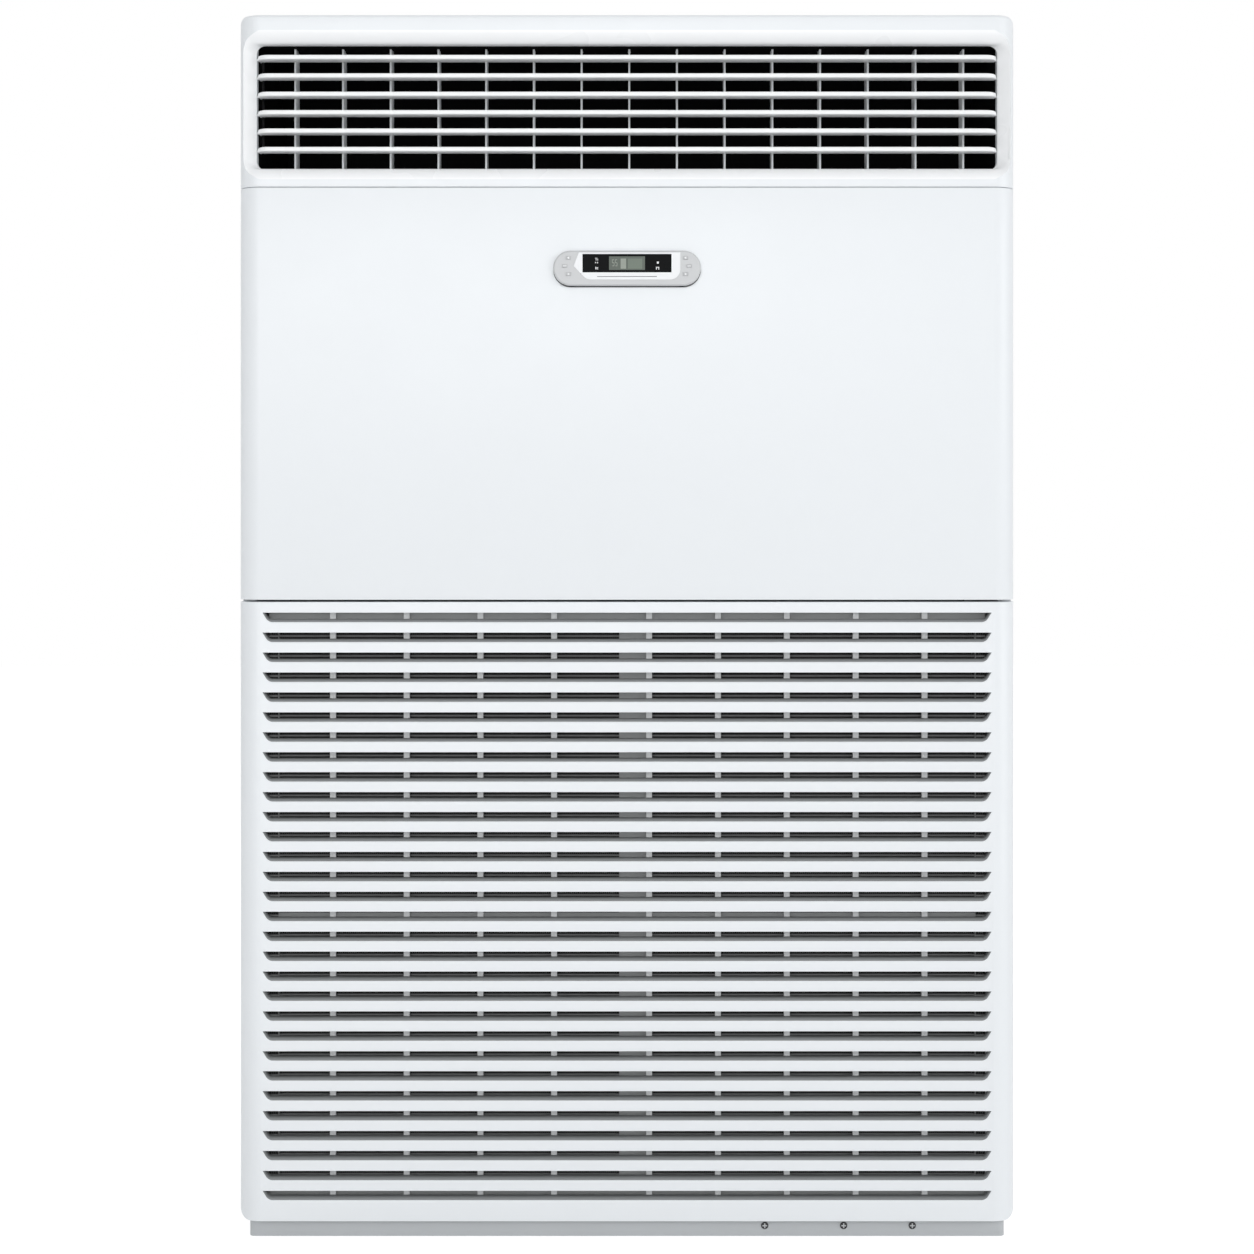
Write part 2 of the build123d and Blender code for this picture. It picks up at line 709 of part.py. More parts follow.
# ------------------------------------------------------------------ outlet duct, blades and vanes
def make_outlet_duct():
    """The hood that turns the rising air forwards, with the pivot holes of blades and vanes."""
    back = front + duct_sill_depth
    bend_start = rear - bead_radius - duct_back_gap - duct_wall - duct_bend
    half = opening_half_width
    wall = duct_wall

    def region(grow, y0, z0):
        """The hood's section, grown by a wall, from its mouth at y0 to its foot at z0."""
        top = opening_top + grow
        radius = duct_bend + grow
        sill = opening_bottom - grow
        heel = back - grow
        return make_face([
            Line((y0, sill), (y0, top)),
            Line((y0, top), (bend_start, top)),
            JernArc((bend_start, top), (1, 0), radius, -90),
            Line((bend_start + radius, top - radius), (bend_start + radius, z0)),
            Line((bend_start + radius, z0), (heel, z0)),
            Line((heel, z0), (heel, sill)),
            Line((heel, sill), (y0, sill)),
        ])

    duct = side_prism(region(wall, duct_front, duct_bottom), -half - wall, half + wall)
    duct -= side_prism(region(0, duct_front - 1, duct_bottom - 1), -half, half)
    hole = pin_hole(pivot_radius)
    duct -= [side_prism(Pos(blade_y, z) * hole, -half - wall - 1, half + wall + 1) for z in blade_zs]
    duct -= [plan_prism(Pos(x, vane_y) * hole, opening_bottom - wall - 1, opening_top + wall + 1) for x in vane_xs]
    return duct


def make_blade(z):
    """One horizontal outlet blade with its end pins and crank arm."""
    half = opening_half_width - blade_end_gap
    section = Pos(blade_y, z) * tapered_bar(-blade_reach, blade_nose_radius, blade_tail, blade_tail_radius)
    nose = blade_y - blade_reach - blade_nose_radius
    tail = blade_y + blade_tail + blade_tail_radius
    blade = side_prism(section, -half, half)
    outline = area(-half, half, nose, tail)
    outline = chamfer(outline.vertices().group_by(Axis.Y)[0], blade_corner)
    blade &= plan_prism(outline, z - blade_pitch, z + blade_pitch)
    reach = opening_half_width + duct_wall - 0.5
    for side in (-1, 1):
        blade += pin((side * (half - 1), blade_y, z), (side * reach, blade_y, z), pivot_radius)
    crank = Pos(blade_y, z) * tapered_bar(0, blade_tail_radius, blade_crank, blade_tail_radius)
    blade += side_prism(crank, -half, -half + link_thickness)
    pin_end = -half + 2 * link_thickness + blade_link_gap + 1
    blade += pin((-half + 1, blade_y + blade_crank, z), (pin_end, blade_y + blade_crank, z), link_pin_radius)
    return blade


def make_blade_link():
    """The upright tie bar on the six crank pins."""
    x0 = -(opening_half_width - blade_end_gap) + link_thickness + blade_link_gap
    y = blade_y + blade_crank
    half = blade_link_width / 2
    outline = area(y - half, y + half, blade_zs[-1] - half, blade_zs[0] + half)
    for z in blade_zs:
        outline -= Pos(y, z) * pin_hole(link_pin_radius)
    return side_prism(outline, x0, x0 + link_thickness)


def make_vane(x, driven):
    """One upright vane on its spindle, notched at the lower rear for the tie bar's pin."""
    low = opening_bottom + vane_clearance
    high = opening_top - vane_clearance
    section = Polygon((x - vane_nose / 2, vane_y - vane_front), (x + vane_nose / 2, vane_y - vane_front),
                      (x + vane_tail / 2, vane_y + vane_rear), (x - vane_tail / 2, vane_y + vane_rear), align=None)
    vane = plan_prism(section, low, high)
    notch = opening_bottom + vane_notch_rise
    vane -= block(x - 4, x + 4, vane_y + vane_notch_front, vane_y + vane_rear + 4, low - 1, notch)
    top = opening_top + duct_wall
    if driven:
        top += vane_motor_grip
    vane += pin((x, vane_y, opening_bottom - duct_wall), (x, vane_y, low + 1), pivot_radius)
    vane += pin((x, vane_y, high - 1), (x, vane_y, top), pivot_radius)
    pin_foot = opening_bottom + vane_link_rise - 1.5
    vane += pin((x, vane_y + vane_crank, pin_foot), (x, vane_y + vane_crank, notch + 1), link_pin_radius)
    return vane


def make_vane_link():
    """The level tie bar under the tails of the fifteen vanes."""
    y = vane_y + vane_crank
    outline = area(vane_xs[0] - link_width, vane_xs[-1] + link_width, y - link_width / 2, y + link_width / 2)
    for x in vane_xs:
        outline -= Pos(x, y) * pin_hole(link_pin_radius)
    z0 = opening_bottom + vane_link_rise
    return plan_prism(outline, z0, z0 + link_thickness)


def make_vane_motor():
    """The small geared motor on top of the duct that swings the driven vane."""
    x = vane_xs[driven_vane - 1]
    z0 = opening_top + duct_wall
    can = RegularPolygon(vane_motor_radius, screw_sides)
    ears = Rectangle(2 * vane_motor_radius + 4 * screw_head_radius, 2 * screw_head_radius)
    motor = plan_prism(Pos(x, vane_y) * can, z0, z0 + vane_motor_height)
    motor += plan_prism(Pos(x, vane_y) * ears, z0, z0 + duct_wall)
    return motor - plan_prism(Pos(x, vane_y) * pin_hole(pivot_radius), z0 - 1, z0 + vane_motor_grip + 1)


# ------------------------------------------------------------------ display
def pill(inset):
    """The display's oval outline, drawn in by inset."""
    radius = display_radius - inset
    return Pos(0, display_centre_z) * SlotOverall(2 * (display_half_length - inset), 2 * radius)


def plate_outline(grow):
    """The white plate: pointed at the left, square at the right, with rounded lower corners."""
    middle = display_centre_z + plate_lift
    low = middle - plate_half_height - grow
    high = middle + plate_half_height + grow
    corners = Polygon((-plate_left_top - grow, high), (-plate_left_point - grow, middle),
                      (-plate_left_foot - grow, low), (plate_right + grow, low),
                      (plate_right + grow, high), align=None)
    feet = corners.vertices().group_by(Axis.Y)[0]
    return fillet(feet, plate_corner + grow)


def window_outline(grow):
    """The black window."""
    middle = display_centre_z + window_lift
    return Pos(0, middle) * Rectangle(2 * (window_half_length + grow), 2 * (window_half_height + grow))


def key_places():
    """Centres of the six keys: three on an arc in each wing."""
    places = {}
    for side, label in ((-1, "left"), (1, "right")):
        for n in (1, 0, -1):
            x = side * (key_column - abs(n) * key_column_step)
            places["key_" + label + "_" + str(2 - n)] = (x, display_centre_z + plate_lift + n * key_pitch)
    return places


def key_outline(place, grow):
    """A key's oblong outline."""
    return Pos(*place) * Rectangle(2 * (key_half_length + grow), 2 * (key_half_height + grow))


def make_display_bezel():
    """The silver cap: hollow behind, with the plate's recess, its window and the key holes."""
    face = front - display_rise
    cap = front_prism(pill(0), face, front)
    cap = chamfer(cap.faces().sort_by(Axis.Y)[0].edges(), display_bevel)
    hollow = Rectangle(2 * (display_half_length - display_wall), 2 * (display_radius - display_wall))
    hollow = chamfer(hollow.vertices(), inside_corner(display_radius - display_wall))
    cap -= front_prism(Pos(0, display_centre_z) * hollow, face + display_wall, front + 1)
    cap -= front_prism(plate_outline(plate_clearance), face - 1, face + plate_thickness - plate_proud)
    cap -= front_prism(window_outline(window_ledge), face - 1, face + display_wall + 1)
    for place in key_places().values():
        cap -= front_prism(key_outline(place, key_clearance), face - 1, face + display_wall + 1)
    return cap


def make_display_plate():
    """The white plate in the bezel's recess, open for the window."""
    face = front - display_rise - plate_proud
    outline = plate_outline(0) - window_outline(window_clearance)
    return front_prism(outline, face, face + plate_thickness)


def lcd_face():
    """Where the liquid crystal module's glass stands."""
    return front - display_rise + display_wall + 0.8


def make_display_window():
    """The black window pane, which bears on the display module behind it."""
    return front_prism(window_outline(0), front - display_rise - plate_proud, lcd_face())


def make_display_board():
    """The circuit board, with the display module and a switch behind each key."""
    y0 = front - board_thickness
    board = front_prism(Pos(0, display_centre_z) * Rectangle(2 * board_half_length, 2 * board_half_height),
                        y0, front)
    middle = Pos(0, display_centre_z + window_lift)
    board += front_prism(middle * Rectangle(2 * lcd_half_length, 2 * lcd_half_height), lcd_face(), y0)
    back = key_back()
    for place in key_places().values():
        switch = Pos(*place) * Rectangle(2 * key_half_height, 2 * key_half_height)
        board += front_prism(switch, back + key_travel + key_seat_gap, y0)
    return board


def key_back():
    """Where a key's flange ends at rest."""
    return front - display_rise + display_wall + key_seat_gap + key_flange_thickness


def make_key(place):
    """A press key, held in its hole by a flange behind the bezel."""
    stem = front_prism(key_outline(place, 0), front - display_rise - key_proud, key_back())
    back = key_back()
    return stem + front_prism(key_outline(place, key_flange), back - key_flange_thickness, back)


# ------------------------------------------------------------------ blower
def wheel_centre(side):
    """Middle of a blower wheel along the shaft."""
    return side * (motor_half_length + scroll_motor_gap + scroll_width / 2)


def make_fan_wheel(side):
    """A double-inlet wheel: forward-curved blades, two end rings, a middle disc and a hub."""
    x = wheel_centre(side)
    x0 = x - wheel_width / 2
    x1 = x + wheel_width / 2
    inner = wheel_radius - wheel_blade_depth
    axis = Pos(fan_axis_y, fan_axis_z)
    plate = RegularPolygon(wheel_radius - 1, ring_sides)
    disc = side_prism(axis * plate, x - wheel_disc / 2, x + wheel_disc / 2)
    core = RegularPolygon(wheel_hub_radius, ring_sides // 2)
    hub = side_prism(axis * core, x - wheel_hub_width / 2, x + wheel_hub_width / 2)
    wheel = disc + hub
    ring = RegularPolygon(wheel_radius, ring_sides)
    ring -= RegularPolygon(inner - 1, ring_sides)
    for start in (x0, x1 - wheel_ring):
        wheel += side_prism(axis * ring, start, start + wheel_ring)
    # each blade is a strip that leans forwards, the way the wheel turns
    tip = wheel_radius - wheel_blade_thickness
    lower = -wheel_blade_thickness
    strip = Polygon((inner, 0), (tip, wheel_blade_lead), (tip, wheel_blade_lead + lower), (inner, lower),
                    align=None)
    blades = []
    for n in range(wheel_blades):
        turned = axis * Rot(0, 0, 360 * n / wheel_blades) * strip
        blades.append(side_prism(turned, x0 + wheel_ring - 0.5, x1 - wheel_ring + 0.5))
    wheel += blades
    bore = shaft_radius
    return wheel - rod((x0, fan_axis_y, fan_axis_z), (x1, fan_axis_y, fan_axis_z), bore)


def make_fan_shaft():
    """The steel shaft through the motor and both wheels."""
    reach = wheel_centre(1) + wheel_hub_width / 2 + shaft_overhang
    return rod((-reach, fan_axis_y, fan_axis_z), (reach, fan_axis_y, fan_axis_z), shaft_radius)


def scroll_region(inset, top):
    """The volute's outline, stepped round three quarter turns of growing radius, drawn in by inset."""
    half_step = scroll_growth / 2
    y = fan_axis_y - half_step
    z = fan_axis_z - half_step
    reach = scroll_start_radius - inset
    crown = z + reach
    tongue_y = y + scroll_tongue
    neck_y = tongue_y + scroll_tongue_radius + inset
    points = [(neck_y, top), (neck_y, crown + scroll_tongue_radius + inset), (tongue_y, crown)]
    steps = round(90 / scroll_facet_angle)
    for quarter in range(3):
        for n in range(steps + (quarter == 2)):
            a = math.radians(90 + 90 * quarter + scroll_facet_angle * n)
            points.append((y + reach * math.cos(a), z + reach * math.sin(a)))
        # the next quarter turns on a longer radius about a centre moved to suit
        if quarter == 0:
            y += scroll_growth
        elif quarter == 1:
            z += scroll_growth
        if quarter < 2:
            reach += scroll_growth
    points.append((y + reach, top))
    return Polygon(*points, align=None)


def scroll_neck():
    """Front and back of the volute's neck, seen from the side."""
    half_step = scroll_growth / 2
    y0 = fan_axis_y - half_step + scroll_tongue + scroll_tongue_radius
    y1 = fan_axis_y + half_step + scroll_start_radius + 2 * scroll_growth
    return y0, y1


def make_scroll(side):
    """A volute casing with a rolled inlet in each cheek and a flanged neck on the deck."""
    x = wheel_centre(side)
    x0 = x - scroll_width / 2
    x1 = x + scroll_width / 2
    wall = scroll_wall
    top = deck_height + deck_sheet
    casing = side_prism(scroll_region(0, top), x0, x1)
    casing -= side_prism(scroll_region(wall, top + 1), x0 + wall, x1 - wall)
    inlet = Pos(fan_axis_y, fan_axis_z) * RegularPolygon(scroll_inlet_radius, ring_sides)
    casing -= side_prism(inlet, x0 - 1, x1 + 1)
    y0, y1 = scroll_neck()
    flange = scroll_neck_flange
    back_flange = min(flange, rear - sheet - deck_edge_gap - bead_radius - y1)
    collar = area(x0 - flange, x1 + flange, y0 - flange, y1 + back_flange)
    collar -= area(x0 + wall, x1 - wall, y0 + wall, y1 - wall)
    return casing + plan_prism(collar, top, top + wall)


def make_blower_deck():
    """The steel shelf over the blowers, with the two neck openings and the motor's cradle."""
    half = steel_half_width - sheet - deck_side_gap
    y0 = side_front + sheet + deck_edge_gap
    y1 = rear - sheet - deck_edge_gap - bead_radius
    z0 = deck_height
    z1 = deck_height + deck_sheet
    deck = block(-half, half, y0, y1, z0, z1)
    for x in (-half, half - deck_sheet):
        deck += block(x, x + deck_sheet, y0, y1, z0 - deck_hem, z1)
    deck += block(-half, half, y0, y0 + deck_sheet, z0 - deck_hem, z1)
    neck0, neck1 = scroll_neck()
    gap = cradle_clearance
    for side in (-1, 1):
        x = wheel_centre(side)
        deck -= block(x - scroll_width / 2 - gap, x + scroll_width / 2 + gap, neck0 - gap, neck1 + gap,
                      z0 - 1, z1 + 1)
    for x, y, radius in ((drain_x, coil_foot_y, drain_radius), (gas_x, pipe_drop_y, gas_radius),
                         (liquid_x, pipe_drop_y, liquid_radius)):
        room = radius + seat_gap
        deck -= block(x - room, x + room, y - room, y + room, z0 - 1, z1 + 1)
    ring = motor_radius + cradle_rim
    plate = area(fan_axis_y - ring, fan_axis_y + ring, fan_axis_z - ring, z0 + deck_sheet / 2)
    plate = chamfer(plate.vertices().group_by(Axis.Y)[0], inside_corner(ring))
    plate -= Pos(fan_axis_y, fan_axis_z) * RegularPolygon(motor_radius + cradle_clearance, motor_sides)
    for x in (-cradle_half_gap - cradle_wall, cradle_half_gap):
        deck += side_prism(plate, x, x + cradle_wall)
    return deck


def make_fan_motor():
    """The double-shaft motor between the two blowers."""
    outline = RegularPolygon(motor_radius, motor_sides) - Circle(shaft_radius + shaft_clearance)
    return side_prism(Pos(fan_axis_y, fan_axis_z) * outline, -motor_half_length, motor_half_length)


# ------------------------------------------------------------------ coil, drain pan and pipes
def pan_floor():
    """Top of the drain pan's floor."""
    return deck_height + deck_sheet + pan_wall


def coil_place():
    """Turns and places a coil drawn upright over its foot, leaning back."""
    lift = coil_thickness / 2 * math.sin(math.radians(coil_tilt)) + seat_gap
    return Pos(0, coil_foot_y, pan_floor() + lift) * Rot(-coil_tilt, 0, 0)


def make_evaporator_coil():
    """The finned slab with its end plates."""
    half = coil_thickness / 2
    coil = block(-coil_half_width, coil_half_width, -half, half, 0, coil_length)
    inset = half - coil_plate_rim
    for side in (-1, 1):
        x0 = side * (coil_half_width - 1)
        x1 = side * (coil_half_width + coil_plate)
        coil += block(min(x0, x1), max(x0, x1), -inset, inset, coil_plate_rim, coil_length - coil_plate_rim)
    return coil_place() * coil


def pipe(corners, outside, bore):
    """A pipe with mitred elbows and a round stub, bored open, at its first end."""
    points = [Vector(corner) for corner in corners]
    path = Polyline(*points)
    start = Plane(origin=points[0], z_dir=points[1] - points[0])
    solid = sweep(start * RegularPolygon(outside - pipe_step, pipe_sides), path=path, transition=Transition.RIGHT)
    inward = (points[1] - points[0]).normalized()
    solid += rod(points[0], points[0] + inward * stub_length, outside)
    return solid - rod(points[0] - inward, points[0] + inward * stub_bore_depth, bore)


def make_drain_pan():
    """The trough under the coil and the drain pipe that leaves by the back."""
    z0 = deck_height + deck_sheet
    y0 = front + pan_front_depth
    y1 = front + pan_rear_depth
    pan = block(-pan_half_width, pan_half_width, y0, y1, z0, z0 + pan_height)
    pan -= block(-pan_half_width + pan_wall, pan_half_width - pan_wall, y0 + pan_wall, y1 - pan_wall,
                 z0 + pan_wall, z0 + pan_height + 1)
    end = overall_depth / 2 - stub_setback
    return pan + pipe([(drain_x, end, drain_exit_z), (drain_x, coil_foot_y, drain_exit_z),
                       (drain_x, coil_foot_y, z0 + 1)], drain_radius, drain_bore)


def make_refrigerant_pipes():
    """The gas and liquid pipes, from the stubs at the back up to the coil."""
    end = overall_depth / 2 - stub_setback
    half = coil_thickness / 2 + seat_gap
    coil = coil_place() * block(-coil_half_width, coil_half_width, -half, half, 0, coil_length)
    pipes = []
    for x, outside, bore in ((gas_x, gas_radius, gas_bore), (liquid_x, liquid_radius, liquid_bore)):
        corners = [(x, end, pipe_exit_z), (x, pipe_drop_y, pipe_exit_z), (x, pipe_drop_y, pipe_top),
                   (x, coil_foot_y + coil_thickness, pipe_top)]
        pipes.append(pipe(corners, outside, bore) - coil)
    return Compound(children=pipes)


def make_electric_box():
    """The closed control box, hooked behind the plinth's front wall by the three screws."""
    wall = base_front + base_sheet
    body = base_front + base_flange + electric_gap
    foot = base_sheet + bead_radius + seat_gap
    steel = electric_steel
    box = block(electric_left, electric_right, body, body + electric_depth, foot, electric_top)
    box += block(electric_left, electric_right, wall, body + 1, foot, foot + steel)
    box += block(electric_left, electric_right, wall, wall + steel, foot, plinth_height - base_sheet - seat_gap)
    box += block(electric_left - steel, electric_right + steel, body - electric_lid, body + 1,
                 plinth_height + steel, electric_top + steel)
    return box


# ------------------------------------------------------------------ every piece, written out
os.makedirs("parts", exist_ok=True)
save("base_pan", make_base_pan())
save("cabinet_screws", make_cabinet_screws())
save("rear_panel", make_rear_panel())
save("side_panel_left", make_side_panel(-1))
save("side_panel_right", make_side_panel(1))
save("top_panel", make_top_panel())
save("upper_front_panel", make_upper_front_panel())
save("outlet_bezel", make_outlet_bezel())
save("outlet_duct", make_outlet_duct())
for number, z in enumerate(blade_zs, 1):
    save("blade_" + str(number), make_blade(z))
save("blade_link", make_blade_link())
for number, x in enumerate(vane_xs, 1):
    save("vane_" + str(number), make_vane(x, number == driven_vane))
save("vane_link", make_vane_link())
save("vane_motor", make_vane_motor())
save("intake_grille", make_intake_grille())
save("filter_frame", make_filter_frame())
for number, window in enumerate(filter_windows(), 1):
    save("filter_" + str(number), make_filter(*window))
save("display_bezel", make_display_bezel())
save("display_plate", make_display_plate())
save("display_window", make_display_window())
save("display_board", make_display_board())
for name, place in key_places().items():
    save(name, make_key(place))
save("fan_motor", make_fan_motor())
save("fan_shaft", make_fan_shaft())
for side, name in ((-1, "left"), (1, "right")):
    save("fan_wheel_" + name, make_fan_wheel(side))
    save("scroll_" + name, make_scroll(side))
save("blower_deck", make_blower_deck())
save("evaporator_coil", make_evaporator_coil())
save("drain_pan", make_drain_pan())
save("refrigerant_pipes", make_refrigerant_pipes())
save("electric_box", make_electric_box())
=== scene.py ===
import json
import math

import bmesh
import bpy
from mathutils import Matrix, Vector


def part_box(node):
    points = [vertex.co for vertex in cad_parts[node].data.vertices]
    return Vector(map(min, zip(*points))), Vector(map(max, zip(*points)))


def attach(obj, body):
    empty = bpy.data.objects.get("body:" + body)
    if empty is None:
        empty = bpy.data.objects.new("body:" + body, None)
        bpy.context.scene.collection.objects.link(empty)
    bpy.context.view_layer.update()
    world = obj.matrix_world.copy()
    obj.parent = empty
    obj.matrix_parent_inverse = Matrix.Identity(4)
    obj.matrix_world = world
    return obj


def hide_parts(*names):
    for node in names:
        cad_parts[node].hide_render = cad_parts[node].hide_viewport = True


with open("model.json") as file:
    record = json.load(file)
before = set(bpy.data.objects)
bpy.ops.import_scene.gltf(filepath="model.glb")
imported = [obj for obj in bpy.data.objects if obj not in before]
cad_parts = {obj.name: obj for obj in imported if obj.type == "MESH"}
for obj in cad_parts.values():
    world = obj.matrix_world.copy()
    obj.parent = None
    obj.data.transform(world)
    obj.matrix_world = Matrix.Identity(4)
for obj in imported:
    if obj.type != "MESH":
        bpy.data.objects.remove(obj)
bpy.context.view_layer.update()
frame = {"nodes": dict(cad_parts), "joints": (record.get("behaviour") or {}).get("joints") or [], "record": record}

scene = bpy.context.scene

# ---------------------------------------------------------------- studio
# The cabinet stands in a plain white studio. The camera is level, at a person's eye height,
# and looks straight at the front; the framing is a little lower than the eye.
FRAME_WIDTH = 1.931                     # metres of the front plane that fill the frame
FRAME_MIDDLE = 0.9425                   # height of the frame's middle on the front plane
FRONT_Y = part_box("intake_grille")[0].y
EYE_HEIGHT = 1.11
EYE_DISTANCE = 3.7
SENSOR = 36.0                           # millimetres

camera_data = bpy.data.cameras.new("eye")
camera_data.sensor_width = SENSOR
camera_data.lens = SENSOR * EYE_DISTANCE / FRAME_WIDTH
camera_data.shift_y = (FRAME_MIDDLE - EYE_HEIGHT) / FRAME_WIDTH
camera = bpy.data.objects.new("eye", camera_data)
camera.location = (0.0, FRONT_Y - EYE_DISTANCE, EYE_HEIGHT)
camera.rotation_euler = (math.radians(90), 0.0, 0.0)
scene.collection.objects.link(camera)
scene.camera = camera
scene.view_settings.view_transform = "Standard"


def softbox(name, place, aim, width, height, watts):
    """A rectangular studio lamp at place, turned to face aim."""
    data = bpy.data.lights.new(name, "AREA")
    data.shape = "RECTANGLE"
    data.size = width
    data.size_y = height
    data.energy = watts
    lamp = bpy.data.objects.new(name, data)
    lamp.location = place
    lamp.rotation_euler = (Vector(aim) - Vector(place)).to_track_quat("-Z", "Y").to_euler()
    scene.collection.objects.link(lamp)


softbox("front_softbox", (-0.6, -6.0, 2.2), (0.0, 0.0, 0.9), width=4.0, height=3.0, watts=102.0)
softbox("right_softbox", (6.0, -3.2, 2.0), (0.4, 0.0, 1.0), width=2.0, height=3.0, watts=60.0)
softbox("rear_softbox", (-0.8, 4.4, 2.8), (0.0, 0.0, 1.0), width=3.0, height=2.4, watts=30.0)


def wire(tree, kind, inputs=(), **settings):
    """A new shader node. Each of its inputs is given a value, or a link from an output."""
    node = tree.nodes.new(kind)
    for setting, value in settings.items():
        setattr(node, setting, value)
    for slot, value in dict(inputs).items():
        if isinstance(value, bpy.types.NodeSocket):
            tree.links.new(value, node.inputs[slot])
        else:
            node.inputs[slot].default_value = value
    return node


def calculate(tree, operation, *values, clamp=False):
    """The outcome of a sum on numbers and outputs."""
    return wire(tree, "ShaderNodeMath", enumerate(values), operation=operation,
                use_clamp=clamp).outputs[0]


def seen_directly(tree):
    """One where a ray comes from the camera, or by way of gloss or glass, and nought elsewhere."""
    path = wire(tree, "ShaderNodeLightPath")
    seen = path.outputs["Is Camera Ray"]
    for kind in ("Is Glossy Ray", "Is Transmission Ray"):
        seen = calculate(tree, "MAXIMUM", seen, path.outputs[kind])
    return seen


# The room gives an even light of its own, and shows white wherever it is seen.
AMBIENT = 0.62
AMBIENT_SLANT = 0.11                    # how much lighter it is to the right, darker to the left
AMBIENT_COLOUR = (0.98, 0.99, 1.0, 1.0)
SEEN_WHITE = (1.0, 1.0, 1.0, 1.0)
world = bpy.data.worlds.new("studio")
world.use_nodes = True
sky = world.node_tree
sky.nodes.clear()
towards = wire(sky, "ShaderNodeTexCoord")
axes = wire(sky, "ShaderNodeSeparateXYZ", {0: towards.outputs["Generated"]})
strength = calculate(sky, "MULTIPLY_ADD", axes.outputs["X"], AMBIENT_SLANT, AMBIENT)
lighting = wire(sky, "ShaderNodeBackground", {"Color": AMBIENT_COLOUR, "Strength": strength})
shown = wire(sky, "ShaderNodeBackground", {"Color": SEEN_WHITE, "Strength": 1.0})
blend = wire(sky, "ShaderNodeMixShader",
             {0: seen_directly(sky), 1: lighting.outputs[0], 2: shown.outputs[0]})
wire(sky, "ShaderNodeOutputWorld", {"Surface": blend.outputs[0]})
scene.world = world

# The floor is a pale sheet. It keeps a soft shadow under the plinth and is white beyond it.
FLOOR_HALF = 14.0
FLOOR_COLOUR = (0.93, 0.93, 0.93, 1.0)
FLOOR_SHADE = (0.42, 0.42, 0.42, 1.0)   # how much of a shadow is seen on it
FLOOR_GLOW = 0.80
floor_shape = bmesh.new()
bmesh.ops.create_grid(floor_shape, x_segments=1, y_segments=1, size=FLOOR_HALF)
floor_mesh = bpy.data.meshes.new("studio_floor")
floor_shape.to_mesh(floor_mesh)
floor_shape.free()
floor = bpy.data.objects.new("studio_floor", floor_mesh)
scene.collection.objects.link(floor)
floor_finish = bpy.data.materials.new("studio_floor")
floor_finish.use_nodes = True
tree = floor_finish.node_tree
tree.nodes.clear()
lit = wire(tree, "ShaderNodeBsdfDiffuse", {"Color": FLOOR_COLOUR})
shaded = wire(tree, "ShaderNodeBsdfDiffuse", {"Color": FLOOR_SHADE})
glow = wire(tree, "ShaderNodeEmission", {"Strength": FLOOR_GLOW})
both = wire(tree, "ShaderNodeAddShader", {0: shaded.outputs[0], 1: glow.outputs[0]})
pick = wire(tree, "ShaderNodeMixShader",
            {0: seen_directly(tree), 1: lit.outputs[0], 2: both.outputs[0]})
wire(tree, "ShaderNodeOutputMaterial", {"Surface": pick.outputs[0]})
floor_mesh.materials.append(floor_finish)

# ---------------------------------------------------------------- base pan
# The plinth is a folded and welded steel tray, 2 mm thick, stoved in a grey satin paint.
# Paint on sheet steel has a faint orange-peel skin and slightly uneven tone.
MM = 0.001
TINY = 0.01 * MM                        # places closer than this count as the same
CLOUD_SCALE = 2.3                       # of the wide clouds in a surface's tone
PATCH_SCALE = 9.0                       # of the patches in its gloss
GLOSS_DRIFT = 0.16


def shader_group(name, given, put):
    """An empty shader group with named sockets. Gives its tree and what its materials give it."""
    group = bpy.data.node_groups.new(name, "ShaderNodeTree")
    for sockets, way in ((given, "INPUT"), (put, "OUTPUT")):
        for label, kind in sockets.items():
            group.interface.new_socket(label, in_out=way, socket_type="NodeSocket" + kind)
    return group, group.nodes.new("NodeGroupInput").outputs


def skin_group():
    """The fine skin that paint and moulded plastic share: an uneven tone, gloss and grain."""
    group, given = shader_group(
        "surface skin",
        {"Colour": "Color", "Tone spread": "Float", "Roughness": "Float", "Grain size": "Float",
         "Grain depth": "Float"},
        {"Colour": "Color", "Roughness": "Float", "Normal": "Vector"})
    place = wire(group, "ShaderNodeTexCoord").outputs["Object"]

    def noise(scale, detail):
        """A noise over the piece, from nought to one."""
        return wire(group, "ShaderNodeTexNoise", {"Vector": place, "Scale": scale,
                                                  "Detail": detail}).outputs["Fac"]

    clouds = calculate(group, "SUBTRACT", noise(CLOUD_SCALE, 3.0), 0.5)
    level = calculate(group, "MULTIPLY_ADD", clouds, given["Tone spread"], 1.0)
    tone = wire(group, "ShaderNodeVectorMath", {0: given["Colour"], "Scale": level},
                operation="SCALE")
    patches = calculate(group, "SUBTRACT", noise(PATCH_SCALE, 2.0), 0.5)
    gloss = calculate(group, "MULTIPLY_ADD", patches, GLOSS_DRIFT, given["Roughness"])
    grain = noise(calculate(group, "DIVIDE", 1.0, given["Grain size"]), 2.0)
    relief = wire(group, "ShaderNodeBump", {"Height": grain, "Distance": given["Grain depth"]})
    wire(group, "NodeGroupOutput",
         {"Colour": tone.outputs[0], "Roughness": gloss, "Normal": relief.outputs[0]})
    return group


SKIN = skin_group()


def new_finish(name, metal, gloss):
    """A new material. Gives it with its shader."""
    material = bpy.data.materials.new(name)
    material.use_nodes = True
    shader = material.node_tree.nodes["Principled BSDF"]
    shader.inputs["Metallic"].default_value = metal
    shader.inputs["Specular IOR Level"].default_value = gloss
    return material, shader


